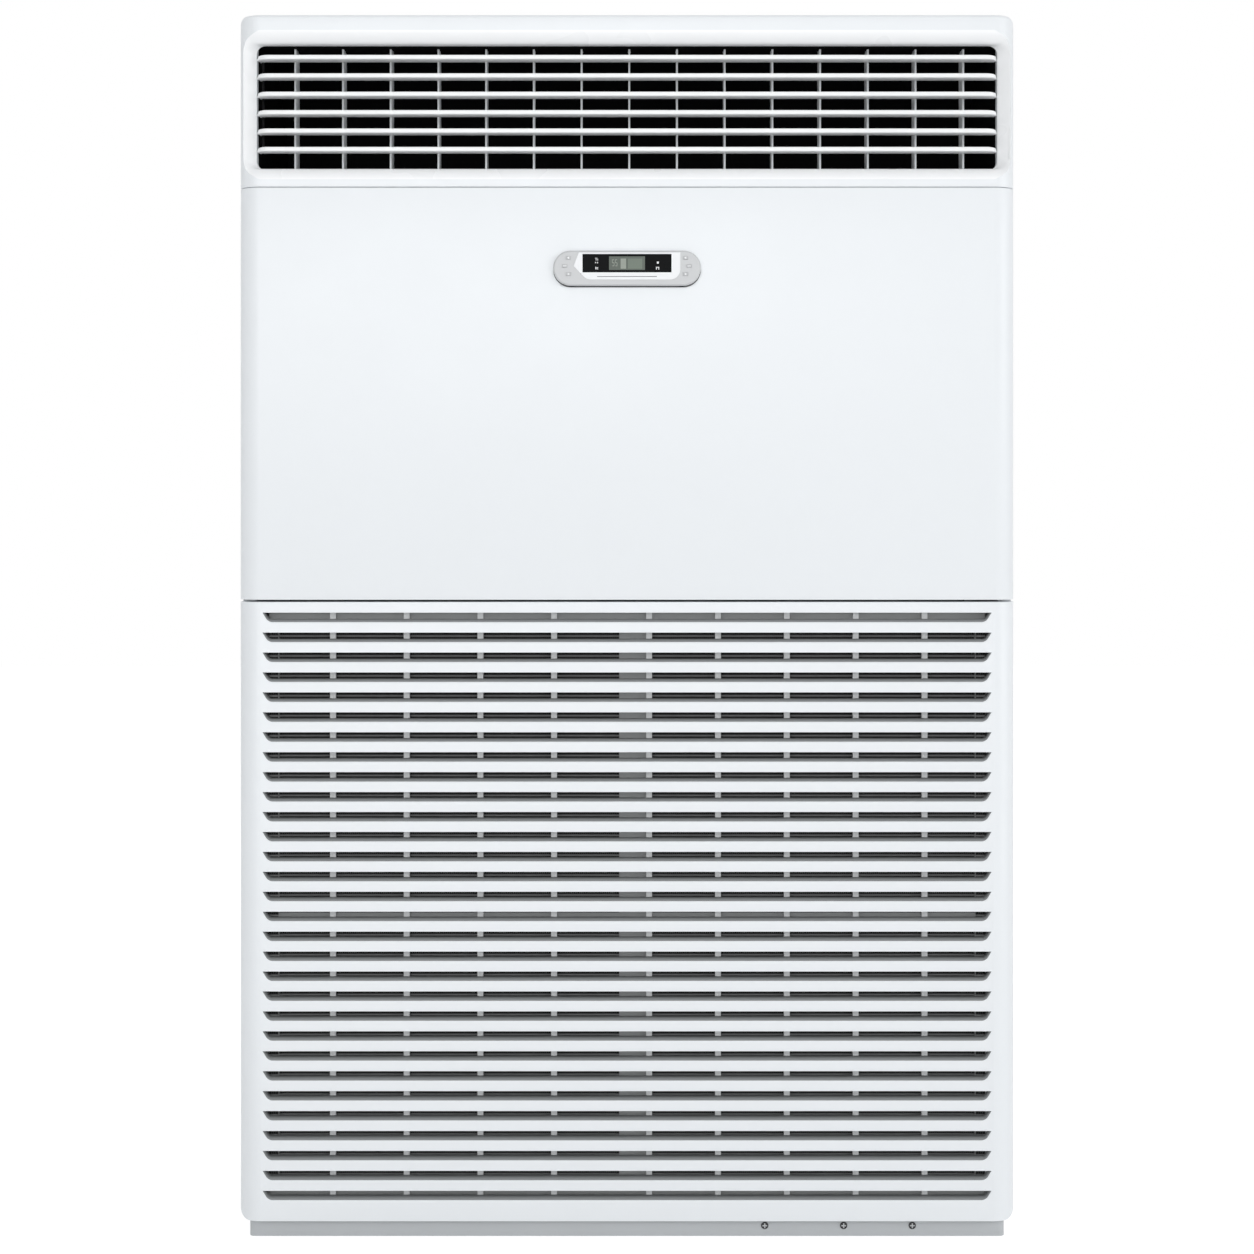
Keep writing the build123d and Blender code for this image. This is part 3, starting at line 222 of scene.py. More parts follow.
def skinned(name, colour, roughness, grain, spread=0.03, metal=0.0, gloss=0.5):
    """A finish of one colour with a fine skin. Its grain has a size and a depth in millimetres."""
    material, shader = new_finish(name, metal, gloss)
    tree = material.node_tree
    skin = wire(tree, "ShaderNodeGroup",
                {"Colour": (*colour, 1.0), "Tone spread": spread, "Roughness": roughness,
                 "Grain size": grain[0] * MM, "Grain depth": grain[1] * MM}, node_tree=SKIN)
    for result, slot in (("Colour", "Base Color"), ("Roughness", "Roughness"),
                         ("Normal", "Normal")):
        tree.links.new(skin.outputs[result], shader.inputs[slot])
    return material


def coat_node(node, material):
    """Gives a carried-over CAD node its finish."""
    mesh = frame["nodes"][node].data
    mesh.materials.clear()
    mesh.materials.append(material)


def merged_node(node):
    """A CAD node's shape with its loose triangles joined."""
    shape = bmesh.new()
    shape.from_mesh(frame["nodes"][node].data)
    bmesh.ops.remove_doubles(shape, verts=shape.verts, dist=TINY)
    return shape


def body_with(node):
    """The body that a CAD node rides on."""
    for body, members in frame["record"]["behaviour"]["bodies"].items():
        if node in members:
            return body


def finish_piece(name, shape, material, body, stands_for=(), crease=32.0, second=None):
    """Turns a finished shape into a named piece, shaded round up to its creases."""
    for face in shape.faces:
        face.smooth = True
    for edge in shape.edges:
        edge.smooth = (len(edge.link_faces) == 2
                       and edge.calc_face_angle(0.0) < math.radians(crease))
    mesh = bpy.data.meshes.new(name)
    shape.to_mesh(mesh)
    shape.free()
    mesh.materials.append(material)
    if second:
        mesh.materials.append(second)
    piece = bpy.data.objects.new(name, mesh)
    scene.collection.objects.link(piece)
    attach(piece, body)
    if stands_for:
        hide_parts(*stands_for)
    return piece


def smooth_copy(name, node, material, crease=32.0):
    """A merged copy of a CAD node whose round stretches are shaded round."""
    return finish_piece(name, merged_node(node), material, body_with(node), (node,), crease)


PLINTH_GREY = (0.50, 0.52, 0.535)
plinth_paint = skinned("grey stoved paint", PLINTH_GREY, 0.42, (1.6, 0.02), spread=0.06)
smooth_copy("plinth_tray", "base_pan", plinth_paint)

# ---------------------------------------------------------------- steel cabinet
# Sides, back and top are 1.2 mm steel, rolled and beaded, in a white polyester powder coat
# that has a slight orange peel. They are screwed together along the back.
STEEL_WHITE = (0.80, 0.82, 0.835)
powder_coat = skinned("white powder coat", STEEL_WHITE, 0.40, (2.2, 0.045), spread=0.025)
for side in ("left", "right"):
    smooth_copy("steel_side_" + side, "side_panel_" + side, powder_coat)
smooth_copy("steel_back", "rear_panel", powder_coat, crease=20.0)
coat_node("top_panel", powder_coat)

# ---------------------------------------------------------------- screws
# Black pan-head screws with a cross recess: three in the plinth's front that hold the control
# box behind it, and two columns in the back. Steel, blacked and lightly oiled.
SCREW_RADIUS = 5.7 * MM
SCREW_HEIGHT = 2.0 * MM
SCREW_ROLL = 1.3 * MM
RECESS_LENGTH = 7.4 * MM
RECESS_WIDTH = 1.8 * MM
RECESS_DEPTH = 1.1 * MM
RECESS_MARGIN = 0.1 * MM


def add_block(shape, low, high):
    """A rectangular block between two corners. Gives its vertices."""
    low, high = Vector(low), Vector(high)
    place = Matrix.Translation((low + high) / 2) @ Matrix.Diagonal((*(high - low), 1.0))
    return bmesh.ops.create_cube(shape, size=1.0, matrix=place)["verts"]


def block(low, high):
    """A shape that is one rectangular block."""
    shape = bmesh.new()
    add_block(shape, low, high)
    return shape


def add_rod(shape, start, end, radius, sides=20):
    """A closed round rod between two points."""
    start, end = Vector(start), Vector(end)
    run = end - start
    turn = run.to_track_quat("Z", "Y").to_matrix().to_4x4()
    place = Matrix.Translation((start + end) / 2) @ turn
    bmesh.ops.create_cone(shape, cap_ends=True, segments=sides, radius1=radius, radius2=radius,
                          depth=run.length, matrix=place)


def edges_where(shape, test, same_x=False):
    """The edges whose ends both pass a test on their place, and may have to share their X."""
    return [edge for edge in shape.edges if all(test(vert.co) for vert in edge.verts)
            and not (same_x and abs(edge.verts[0].co.x - edge.verts[1].co.x) > TINY)]


def round_edges(shape, edges, radius, segments):
    """Rolls edges over with a round bevel."""
    bmesh.ops.bevel(shape, geom=edges, offset=radius, segments=segments, profile=0.5,
                    affect="EDGES", material=-1, clamp_overlap=True)


def carve(shape, tool, operation="DIFFERENCE"):
    """Cuts one closed shape with another, uses both up, and gives what is left."""
    made = []
    for part in (shape, tool):
        mesh = bpy.data.meshes.new("cutting")
        part.to_mesh(mesh)
        part.free()
        holder = bpy.data.objects.new("cutting", mesh)
        scene.collection.objects.link(holder)
        made.append(holder)
    cut = made[0].modifiers.new("cut", "BOOLEAN")
    cut.object = made[1]
    cut.operation = operation
    cut.solver = "EXACT"
    bpy.context.view_layer.update()
    result = bmesh.new()
    result.from_object(made[0], bpy.context.evaluated_depsgraph_get())
    for holder in made:
        mesh = holder.data
        bpy.data.objects.remove(holder)
        bpy.data.meshes.remove(mesh)
    return result


def merge(shape, other):
    """Adds one shape to another, and uses it up."""
    mesh = bpy.data.meshes.new("merging")
    other.to_mesh(mesh)
    other.free()
    shape.from_mesh(mesh)
    bpy.data.meshes.remove(mesh)


def mark_second(shape, test):
    """Gives the second finish to the faces that pass a test on their middle and direction."""
    for face in shape.faces:
        if test(face.calc_center_median(), face.normal):
            face.material_index = 1


def screw_head(shape, root, out):
    """One pan head at root, on a face whose outward direction is out (plus or minus one on Y)."""
    head = bmesh.new()
    tip = root + Vector((0.0, out * SCREW_HEIGHT, 0.0))
    add_rod(head, root, tip, SCREW_RADIUS, 28)
    round_edges(head, edges_where(head, lambda co: abs(co.y - tip.y) < TINY), SCREW_ROLL, 4)
    y0, y1 = sorted((tip.y - out * RECESS_DEPTH, tip.y + out * SCREW_HEIGHT))
    for wide, tall in ((RECESS_LENGTH, RECESS_WIDTH), (RECESS_WIDTH, RECESS_LENGTH)):
        head = carve(head, block((root.x - wide / 2, y0, root.z - tall / 2),
                                 (root.x + wide / 2, y1, root.z + tall / 2)))
    # painted reflection: the faces inside the cross get bright steel, so that the recess shows light
    mark_second(head, lambda place, normal: (
        math.hypot(place.x - root.x, place.z - root.z) < RECESS_LENGTH / 2 + RECESS_MARGIN
        and abs(place.y - tip.y) > RECESS_MARGIN and abs(place.y - root.y) > RECESS_MARGIN))
    merge(shape, head)


def islands(node):
    """Low and high corners of each loose solid in a CAD node, from left to right."""
    shape = merged_node(node)
    left = set(shape.verts)
    boxes = []
    while left:
        group, edge = set(), {left.pop()}
        while edge:
            vert = edge.pop()
            group.add(vert)
            edge |= {link.other_vert(vert) for link in vert.link_edges} - group
        left -= group
        spread = [[vert.co[axis] for vert in group] for axis in range(3)]
        boxes.append((Vector(min(axis) for axis in spread), Vector(max(axis) for axis in spread)))
    shape.free()
    return sorted(boxes, key=lambda corners: tuple(corners[0]))


heads = bmesh.new()
for low, high in islands("cabinet_screws"):
    middle = (low + high) / 2
    if middle.y < 0:
        screw_head(heads, Vector((middle.x, high.y, middle.z)), -1)
    else:
        screw_head(heads, Vector((middle.x, low.y, middle.z)), 1)
blacked_steel = skinned("blacked steel", (0.018, 0.018, 0.02), 0.34, (0.5, 0.01), spread=0.2)
# painted reflection: bright steel for the inside of the cross recess
recess_reflection_steel = skinned("worn bright steel", (0.46, 0.47, 0.48), 0.32, (0.4, 0.01), spread=0.2,
                     metal=0.7)
finish_piece("screw_heads", heads, blacked_steel, "cabinet", ("cabinet_screws",),
             second=recess_reflection_steel)

# ---------------------------------------------------------------- blower and coil
# Two double-inlet blowers on one motor hang in galvanised casings under a steel deck, with the
# finned coil and its drain pan above. Casings and wheels are drawn finer than in the CAD: rolled
# sheet with a bell mouth, and 42 forward-curved blades.
galvanised = skinned("galvanised sheet", (0.52, 0.54, 0.55), 0.38, (6.0, 0.02), spread=0.22,
                     metal=0.9)
motor_enamel = skinned("black motor enamel", (0.035, 0.037, 0.04), 0.45, (1.4, 0.03), spread=0.1)
wheel_plastic = skinned("black wheel plastic", (0.03, 0.03, 0.032), 0.55, (1.0, 0.02), spread=0.1)
turned_steel = skinned("turned steel", (0.56, 0.56, 0.57), 0.24, (0.4, 0.01), spread=0.08,
                       metal=1.0)
pan_plastic = skinned("grey foam-backed plastic", (0.60, 0.61, 0.60), 0.55, (1.5, 0.04),
                      spread=0.05)
copper = skinned("drawn copper", (0.72, 0.36, 0.22), 0.28, (3.0, 0.01), spread=0.2, metal=1.0)
VOLUTE_START = 143.0 * MM
VOLUTE_GROWTH = 10.0 * MM               # how much longer each quarter turn's radius is
VOLUTE_STEP = 7.5                       # degrees
VOLUTE_WALL = 2.0 * MM
TONGUE = 25.0 * MM
TONGUE_ROUND = 6.0 * MM
NECK_FLANGE = 12.0 * MM
INLET_RADIUS = 107.0 * MM
INLET_ROLL = 4.0 * MM
WHEEL_RADIUS = 130.0 * MM
WHEEL_RING = 2.5 * MM
WHEEL_DISC = 1.25 * MM                  # half its thickness
WHEEL_SIDES = 48
HUB_RADIUS = 26.0 * MM
HUB_HALF = 22.0 * MM
WHEEL_BLADES = 42
WHEEL_BLADE_DEPTH = 20.0 * MM
WHEEL_BLADE_LEAD = 9.0 * MM             # how far a blade's tip leads its root
WHEEL_BLADE_WALL = 1.1 * MM
CLEAR = 5.0 * MM                        # how far a cutting tool stands out of what it cuts
BITE = 1.0 * MM                         # how far joined solids reach into each other
ALONG_SHAFT = (1.0, 0.0, 0.0)


def joint_place(name):
    """Where a joint's axis stands, as X, Y and Z."""
    return next(joint["pos_m"] for joint in frame["joints"] if joint["name"] == name)


def turned(shape, vert, centre, degrees, steps, axis=ALONG_SHAFT):
    """Carries a vertex about a centre and leaves an arc behind it. Gives the arc's end."""
    arc = bmesh.ops.spin(shape, geom=[vert], cent=centre, axis=axis, steps=steps,
                         angle=math.radians(degrees))
    return arc["geom_last"][0]


def shift(shape, parts, run):
    """Moves what an operator has made."""
    bmesh.ops.translate(shape, vec=run,
                        verts=[part for part in parts if isinstance(part, bmesh.types.BMVert)])


def draw_out(shape, run):
    """Fills the outline that a shape's vertices go round, and draws it out to a closed block."""
    face = shape.faces.new(shape.verts[:])
    shift(shape, bmesh.ops.extrude_face_region(shape, geom=[face], use_keep_orig=True)["geom"],
          run)
    bmesh.ops.recalc_face_normals(shape, faces=shape.faces)
    return shape


def volute(x, width, inset, top):
    """A block in the casing's form: a tongue, three quarter turns that widen, and a neck."""
    shape = bmesh.new()
    y, z = shaft_y - VOLUTE_GROWTH / 2, shaft_z - VOLUTE_GROWTH / 2
    rise = z + VOLUTE_START - inset
    bend = TONGUE_ROUND + inset
    shape.verts.new((x, y + TONGUE + bend, top))
    turned(shape, shape.verts.new((x, y + TONGUE + bend, rise + bend)),
           (x, y + TONGUE, rise + bend), -90, 4)
    end = shape.verts.new((x, y, rise))
    for centre_y, centre_z in ((y, z), (y + VOLUTE_GROWTH, z),
                               (y + VOLUTE_GROWTH, z + VOLUTE_GROWTH)):
        end = turned(shape, end, (x, centre_y, centre_z), 90, round(90 / VOLUTE_STEP))
    shape.verts.new((x, end.co.y, top))
    return draw_out(shape, (width, 0.0, 0.0))


def along_shaft(shape, start, end, radius, sides=WHEEL_SIDES):
    """A round rod about the shaft, from one X to another."""
    add_rod(shape, (start, shaft_y, shaft_z), (end, shaft_y, shaft_z), radius, sides)
    return shape


def add_ring(shape, x, radius, thickness):
    """A ring of round section about the shaft."""
    ring = bmesh.new()
    bmesh.ops.create_circle(ring, segments=8, radius=thickness,
                            matrix=Matrix.Translation((x, shaft_y + radius, shaft_z)))
    bmesh.ops.spin(ring, geom=ring.verts[:] + ring.edges[:], cent=(x, shaft_y, shaft_z),
                   axis=ALONG_SHAFT, angle=2 * math.pi, steps=WHEEL_SIDES, use_merge=True)
    bmesh.ops.recalc_face_normals(ring, faces=ring.faces)
    merge(shape, ring)


shaft_y, shaft_z = joint_place("fan_spin")[1:]
neck_front = shaft_y - VOLUTE_GROWTH / 2 + TONGUE + TONGUE_ROUND
neck_back = shaft_y + VOLUTE_GROWTH / 2 + VOLUTE_START + 2 * VOLUTE_GROWTH
for side in ("left", "right"):
    low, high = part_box("scroll_" + side)
    x0, x1 = low.x + NECK_FLANGE, high.x - NECK_FLANGE
    top = high.z - VOLUTE_WALL
    casing = volute(x0, x1 - x0, 0.0, top)
    casing = carve(casing, volute(x0 + VOLUTE_WALL, x1 - x0 - 2 * VOLUTE_WALL, VOLUTE_WALL,
                                  top + BITE))
    casing = carve(casing, along_shaft(bmesh.new(), x0 - CLEAR, x1 + CLEAR, INLET_RADIUS))
    collar = block((low.x, neck_front - NECK_FLANGE, top), (high.x, high.y, high.z))
    opening = block((x0 + VOLUTE_WALL, neck_front + VOLUTE_WALL, top - CLEAR),
                    (x1 - VOLUTE_WALL, neck_back - VOLUTE_WALL, high.z + CLEAR))
    merge(casing, carve(collar, opening))
    for x in (x0, x1):
        add_ring(casing, x, INLET_RADIUS + INLET_ROLL, INLET_ROLL)
    finish_piece("blower_casing_" + side, casing, galvanised, "cabinet",
                 ("scroll_" + side,))
    low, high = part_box("fan_wheel_" + side)
    middle = (low.x + high.x) / 2
    wheel = bmesh.new()
    for x in (low.x + WHEEL_RING, high.x - WHEEL_RING):
        add_ring(wheel, x, WHEEL_RADIUS - WHEEL_RING, WHEEL_RING)
    along_shaft(wheel, middle - WHEEL_DISC, middle + WHEEL_DISC, WHEEL_RADIUS - 2 * WHEEL_RING)
    along_shaft(wheel, middle - HUB_HALF, middle + HUB_HALF, HUB_RADIUS, 32)
    # one blade, then the others round the hub
    root = WHEEL_RADIUS - WHEEL_RING - WHEEL_BLADE_DEPTH
    curve = [(root + WHEEL_BLADE_DEPTH * k / 4, WHEEL_BLADE_LEAD * (k / 4) ** 2)
             for k in range(5)]
    blades = bmesh.new()
    for away, lead in curve + [(away, lead - WHEEL_BLADE_WALL) for away, lead in curve[::-1]]:
        blades.verts.new((low.x + WHEEL_RING, shaft_y + away, shaft_z + lead))
    draw_out(blades, (high.x - low.x - 2 * WHEEL_RING, 0.0, 0.0))
    bmesh.ops.spin(blades, geom=blades.verts[:] + blades.edges[:] + blades.faces[:],
                   cent=(low.x, shaft_y, shaft_z), axis=ALONG_SHAFT, use_duplicate=True,
                   angle=2 * math.pi * (1 - 1 / WHEEL_BLADES), steps=WHEEL_BLADES - 1)
    merge(wheel, blades)
    finish_piece("blower_wheel_" + side, wheel, wheel_plastic, "fan",
                 ("fan_wheel_" + side,))
coat_node("blower_deck", galvanised)
coat_node("electric_box", galvanised)
smooth_copy("blower_motor", "fan_motor", motor_enamel, crease=40.0)
smooth_copy("blower_shaft", "fan_shaft", turned_steel)
smooth_copy("condensate_pan", "drain_pan", pan_plastic)
smooth_copy("refrigerant_tubes", "refrigerant_pipes", copper, crease=50.0)

LINE_SHARPNESS = 12.0
LINE_RELIEF = 0.3 * MM


def lines_group():
    """Fine parallel lines across one direction, as on a fin pack or a woven net."""
    group, given = shader_group(
        "fine lines",
        {"Across": "Vector", "Pitch": "Float", "Share": "Float", "Shift": "Float",
         "Level": "Float"},
        {"Line": "Float"})
    place = wire(group, "ShaderNodeTexCoord").outputs["Object"]
    along = wire(group, "ShaderNodeVectorMath", {0: place, 1: given["Across"]},
                 operation="DOT_PRODUCT").outputs["Value"]
    steps = calculate(group, "DIVIDE", calculate(group, "SUBTRACT", along, given["Shift"]),
                      given["Pitch"])
    # nought in the middle of a line, and a half midway between two lines
    away = calculate(group, "PINGPONG", calculate(group, "FRACT", steps), 0.5)
    within = calculate(group, "SUBTRACT", calculate(group, "MULTIPLY", given["Share"], 0.5), away)
    firm = calculate(group, "MULTIPLY_ADD", within, LINE_SHARPNESS, 0.5, clamp=True)
    wire(group, "NodeGroupOutput", {"Line": calculate(group, "MULTIPLY", firm, given["Level"])})
    return group


LINES = lines_group()


def lined(name, line_colour, gap_colour, roughness, across, metal=0.0, gloss=0.5):
    """A finish of fine lines. Each set in across has direction, pitch, share, shift and level."""
    material, shader = new_finish(name, metal, gloss)
    tree = material.node_tree
    shader.inputs["Roughness"].default_value = roughness
    mask = None
    for values in across:
        labels = ("Across", "Pitch", "Share", "Shift", "Level")
        line = wire(tree, "ShaderNodeGroup", zip(labels, values), node_tree=LINES).outputs[0]
        mask = line if mask is None else calculate(tree, "MAXIMUM", mask, line)
    mix = wire(tree, "ShaderNodeMix",
               {0: mask, 6: (*gap_colour, 1.0), 7: (*line_colour, 1.0)}, data_type="RGBA")
    bump = wire(tree, "ShaderNodeBump", {"Height": mask, "Distance": LINE_RELIEF})
    tree.links.new(mix.outputs[2], shader.inputs["Base Color"])
    tree.links.new(bump.outputs[0], shader.inputs["Normal"])
    return material


FIN_PITCH = 1.8 * MM
fins = lined("aluminium fins", (0.66, 0.68, 0.70), (0.10, 0.105, 0.11), 0.35,
             [((1.0, 0.0, 0.0), FIN_PITCH, 0.4, 0.0, 1.0)], metal=0.8)
coat_node("evaporator_coil", fins)

# ---------------------------------------------------------------- outlet duct
# The hood over the coil is moulded black plastic, lined with black foam, so that no light
# comes back out of it. The vane motor and the two tie bars are black too.
MOUTH_DEPTH = 18.0 * MM                 # the hood shows its own white as far back as this
DUCT_WALL = 3.0 * MM
CEILING_MARGIN = 0.1 * MM
MOULDING_WHITE = (0.835, 0.862, 0.885)


def tint_group():
    """Another colour on all that lies ahead of a plane and below a ceiling."""
    group, given = shader_group(
        "tint ahead", {"Colour": "Color", "Tint": "Color", "Edge": "Float", "Ceiling": "Float"},
        {"Colour": "Color"})
    place = wire(group, "ShaderNodeTexCoord").outputs["Object"]
    axes = wire(group, "ShaderNodeSeparateXYZ", {0: place}).outputs
    ahead = calculate(group, "LESS_THAN", axes["Y"], given["Edge"])
    below = calculate(group, "LESS_THAN", axes["Z"], given["Ceiling"])
    mix = wire(group, "ShaderNodeMix", {0: calculate(group, "MULTIPLY", ahead, below),
                                        6: given["Colour"], 7: given["Tint"]}, data_type="RGBA")
    wire(group, "NodeGroupOutput", {"Colour": mix.outputs[2]})
    return group


TINT = tint_group()


def tint_ahead(material, edge, colour, ceiling=10.0):
    """Tints what lies ahead of a plane, and below a ceiling, in a material that has a skin."""
    tree = material.node_tree
    base = tree.nodes["Principled BSDF"].inputs["Base Color"]
    tint = wire(tree, "ShaderNodeGroup",
                {"Colour": base.links[0].from_socket, "Tint": (*colour, 1.0), "Edge": edge,
                 "Ceiling": ceiling}, node_tree=TINT)
    tree.links.new(tint.outputs["Colour"], base)


duct_low, duct_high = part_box("outlet_duct")
foam = skinned("hood with foam lining", (0.004, 0.004, 0.0045), 0.9, (2.4, 0.25), spread=0.3,
               gloss=0.1)
tint_ahead(foam, duct_low.y + MOUTH_DEPTH, MOULDING_WHITE,
           ceiling=duct_high.z - DUCT_WALL - CEILING_MARGIN)
black_plastic = skinned("black tie bar plastic", (0.006, 0.006, 0.0065), 0.7, (1.0, 0.02),
                        spread=0.1, gloss=0.1)
smooth_copy("outlet_hood", "outlet_duct", foam)
for node in ("blade_link", "vane_link"):
    coat_node(node, black_plastic)
smooth_copy("vane_gearmotor", "vane_motor", black_plastic, crease=50.0)

# ---------------------------------------------------------------- vanes
# Fifteen upright vanes swing the air left and right. Each is a thin light grey moulding with
# a rounded front edge, held by a pin at each end and driven by a tie bar below.
VANE_COUNT = 15
VANE_GREY = (0.78, 0.80, 0.815)
VANE_HALF = 1.5 * MM                    # half its thickness ahead of the spindle
VANE_TAPER = 0.73                       # the tail's share of that
VANE_NOSE = 0.9 * MM
VANE_GAP = 0.8 * MM                     # between a vane's ends and the opening
VANE_LINK_DEPTH = 17.0 * MM             # tie bar's pins behind the spindles
VANE_SPINDLE = 2.0 * MM
CRANK_PIN = 1.35 * MM
PIN_FOOT = 2.5 * MM
NOTCH_AHEAD = 6.5 * MM                  # the notch starts this far ahead of the tie bar's pin
NOTCH_RISE = 8.5 * MM
MOTOR_VANE = 8                          # the motor drives this one, and its coupling takes room
MOTOR_ROOM = 7.0 * MM
ROD_SIDES = 12
OPENING_RISE = 51.0 * MM                # the opening's foot above the duct's lowest point
opening_foot = duct_low.z + OPENING_RISE
opening_head = duct_high.z - DUCT_WALL
opening_half = duct_high.x - DUCT_WALL
vane_plastic = skinned("light grey vane plastic", VANE_GREY, 0.45, (0.9, 0.015), spread=0.06)
for n in range(1, VANE_COUNT + 1):
    node = "vane_%d" % n
    low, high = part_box(node)
    x, spindle_y = joint_place("vane_swing_%d" % n)[:2]
    pin_y = spindle_y + VANE_LINK_DEPTH
    head = high.z - DUCT_WALL - (MOTOR_ROOM if n == MOTOR_VANE else 0.0)
    foot = opening_foot + VANE_GAP
    notch = opening_foot + NOTCH_RISE
    shape = bmesh.new()
    for vert in add_block(shape, (x - VANE_HALF, low.y, foot),
                          (x + VANE_HALF, high.y, head - VANE_GAP)):
        if vert.co.y > spindle_y:
            vert.co.x = x + (vert.co.x - x) * VANE_TAPER
    round_edges(shape, edges_where(shape, lambda co: co.y < low.y + TINY, same_x=True),
                VANE_NOSE, 3)
    shape = carve(shape, block((x - CLEAR, pin_y - NOTCH_AHEAD, foot - CLEAR),
                               (x + CLEAR, high.y + CLEAR, notch)))
    for y, start, end, radius in ((spindle_y, low.z, foot + BITE, VANE_SPINDLE),
                                  (spindle_y, head - 2 * BITE, high.z, VANE_SPINDLE),
                                  (pin_y, opening_foot + PIN_FOOT, notch + BITE, CRANK_PIN)):
        add_rod(shape, (x, y, start), (x, y, end), radius, ROD_SIDES)
    finish_piece("swing_vane_%d" % n, shape, vane_plastic, "outlet_vane_%d" % n,
                 (node,))

# ---------------------------------------------------------------- blades
# Six white blades across the outlet tilt together to aim the air up and down. Each is one
# long moulding with a thick round nose, rounded front corners and a crank at its left end.
BLADE_COUNT = 6
BLADE_WHITE = (0.90, 0.91, 0.915)
BLADE_GAP = 3.0 * MM                    # between a blade's ends and the opening
BLADE_HALF = 3.4 * MM                   # half its thickness at the nose
BLADE_TAPER = 0.59                      # the tail's share of that
BLADE_REACH = 25.6 * MM                 # thickest part of the nose ahead of the pivot
BLADE_TAIL = 6.0 * MM
BLADE_CORNER = 18.0 * MM
NOSE_ROUND = 1.6 * MM
NOSE_SLOPE = 0.3 * MM                   # an edge that climbs less than this counts as level
BLADE_PIVOT = 2.0 * MM
PIVOT_REACH = 2.5 * MM                  # into the duct's side
CRANK_REACH = 11.0 * MM
CRANK_WIDTH = 3.0 * MM
CRANK_HALF = 2.0 * MM
CRANK_PIN_END = 4.5 * MM                # how far the pin stands out of the crank's far side
blade_plastic = skinned("white blade plastic", BLADE_WHITE, 0.34, (0.8, 0.01))
half = opening_half - BLADE_GAP
for n in range(1, BLADE_COUNT + 1):
    pivot_y, z = joint_place("blade_tilt_%d" % n)[1:]
    pin_y = pivot_y + CRANK_REACH
    nose_y = pivot_y - BLADE_REACH - BLADE_HALF
    shape = bmesh.new()
    for vert in add_block(shape, (-half, nose_y, z - BLADE_HALF),
                          (half, pivot_y + BLADE_TAIL, z + BLADE_HALF)):
        if vert.co.y > pivot_y:
            vert.co.z = z + (vert.co.z - z) * BLADE_TAPER
    round_edges(shape, edges_where(shape, lambda co: co.y < nose_y + TINY, same_x=True),
                BLADE_CORNER, 8)
    # the rims above and below, along the nose and round its corners
    rim = [edge for edge in edges_where(shape, lambda co: co.y < pivot_y)
           if abs(edge.verts[0].co.z - edge.verts[1].co.z) < NOSE_SLOPE
           and min(vert.co.y for vert in edge.verts) < nose_y + BLADE_CORNER - BITE / 2]
    round_edges(shape, rim, NOSE_ROUND, 4)
    for side in (-1, 1):
        add_rod(shape, (side * (half - BITE), pivot_y, z),
                (side * (opening_half + PIVOT_REACH), pivot_y, z), BLADE_PIVOT, ROD_SIDES)
    add_block(shape, (-half, pivot_y - CRANK_HALF, z - CRANK_HALF),
              (-half + CRANK_WIDTH, pin_y + CRANK_HALF, z + CRANK_HALF))
    add_rod(shape, (-half + BITE, pin_y, z), (-half + CRANK_WIDTH + CRANK_PIN_END, pin_y, z),
            CRANK_PIN, ROD_SIDES)
    finish_piece("tilt_blade_%d" % n, shape, blade_plastic, "outlet_blade_%d" % n,
                 ("blade_%d" % n,))

# ---------------------------------------------------------------- outlet bezel
# The top moulding is one white shell that reaches round both sides. Its wide flare runs back
# into the duct, with a soft lip above and below the opening. It hooks on the steel sides.
WALL = 3.0 * MM
CORNER = 35.0 * MM                      # upright front corners, seen from above
SHOULDER = 17.0 * MM                    # upper corners, seen from the front
TOP_RIM = 7.0 * MM
RIM = 1.6 * MM                          # rolled edges along the joints
FLARE_DEPTH = 32.0 * MM
FLARE_SIDE = 32.0 * MM
FLARE_RISE = 13.0 * MM
OPENING_CORNER = 14.0 * MM
CORNER_GROWTH = 8.0 * MM                # how much rounder the flare's corners are at the front
OVERRUN = 2.0 * MM                      # how far a funnel runs on past what it opens
OUTLINE_PAST = 9.0 * MM                 # how far an outline block stands out, front and back
# depth behind the front plane, how far the lip is rolled outwards there, and how much of the
# flare's rise is still left above and below the opening
LIP = ((-2.0, 6.0, 1.125), (0.0, 6.0, 1.0), (0.4, 4.4, 0.975), (1.2, 2.9, 0.925),
       (2.4, 1.6, 0.85), (4.0, 0.7, 0.75), (6.5, 0.0, 0.594), (11.5, 0.0, 0.29),
       (14.0, 0.0, 0.15), (17.0, 0.0, 0.05), (21.0, 0.0, 0.0), (32.0, 0.0, 0.0))
moulding = skinned("white moulded plastic", MOULDING_WHITE, 0.36, (0.7, 0.012), spread=0.02)
# painted highlight: the flare is a brighter white than the moulding, where light falls on it
flare_painted_highlight = skinned("bright white flare", (0.955, 0.965, 0.975), 0.30, (0.7, 0.012),
                      spread=0.02)


def wrapped_block(low, high, top_radius=0.0, top_segments=0, foot_radius=0.0, foot_segments=0):
    """A block with round upright front corners and rolled upper and lower front rims."""
    shape = block(low, high)
    round_edges(shape, edges_where(shape, lambda co: co.y < low.y + TINY, same_x=True), CORNER, 14)
    for level, radius, segments in ((high.z, top_radius, top_segments),
                                    (low.z, foot_radius, foot_segments)):
        if radius:
            rim = [edge for edge in edges_where(shape, lambda co: abs(co.z - level) < TINY)
                   if min(vert.co.y for vert in edge.verts) < high.y - TINY]
            round_edges(shape, rim, radius, segments)
    return shape


def elevation_outline(low, high, radius, level, segments):
    """A block that runs past front and back, with its two corners at one level rounded."""
    past = Vector((0.0, OUTLINE_PAST, 0.0))
    shape = block(low - past, high + past)
    round_edges(shape, edges_where(shape, lambda co: abs(co.z - level) < TINY, same_x=True),
                radius, segments)
    return shape


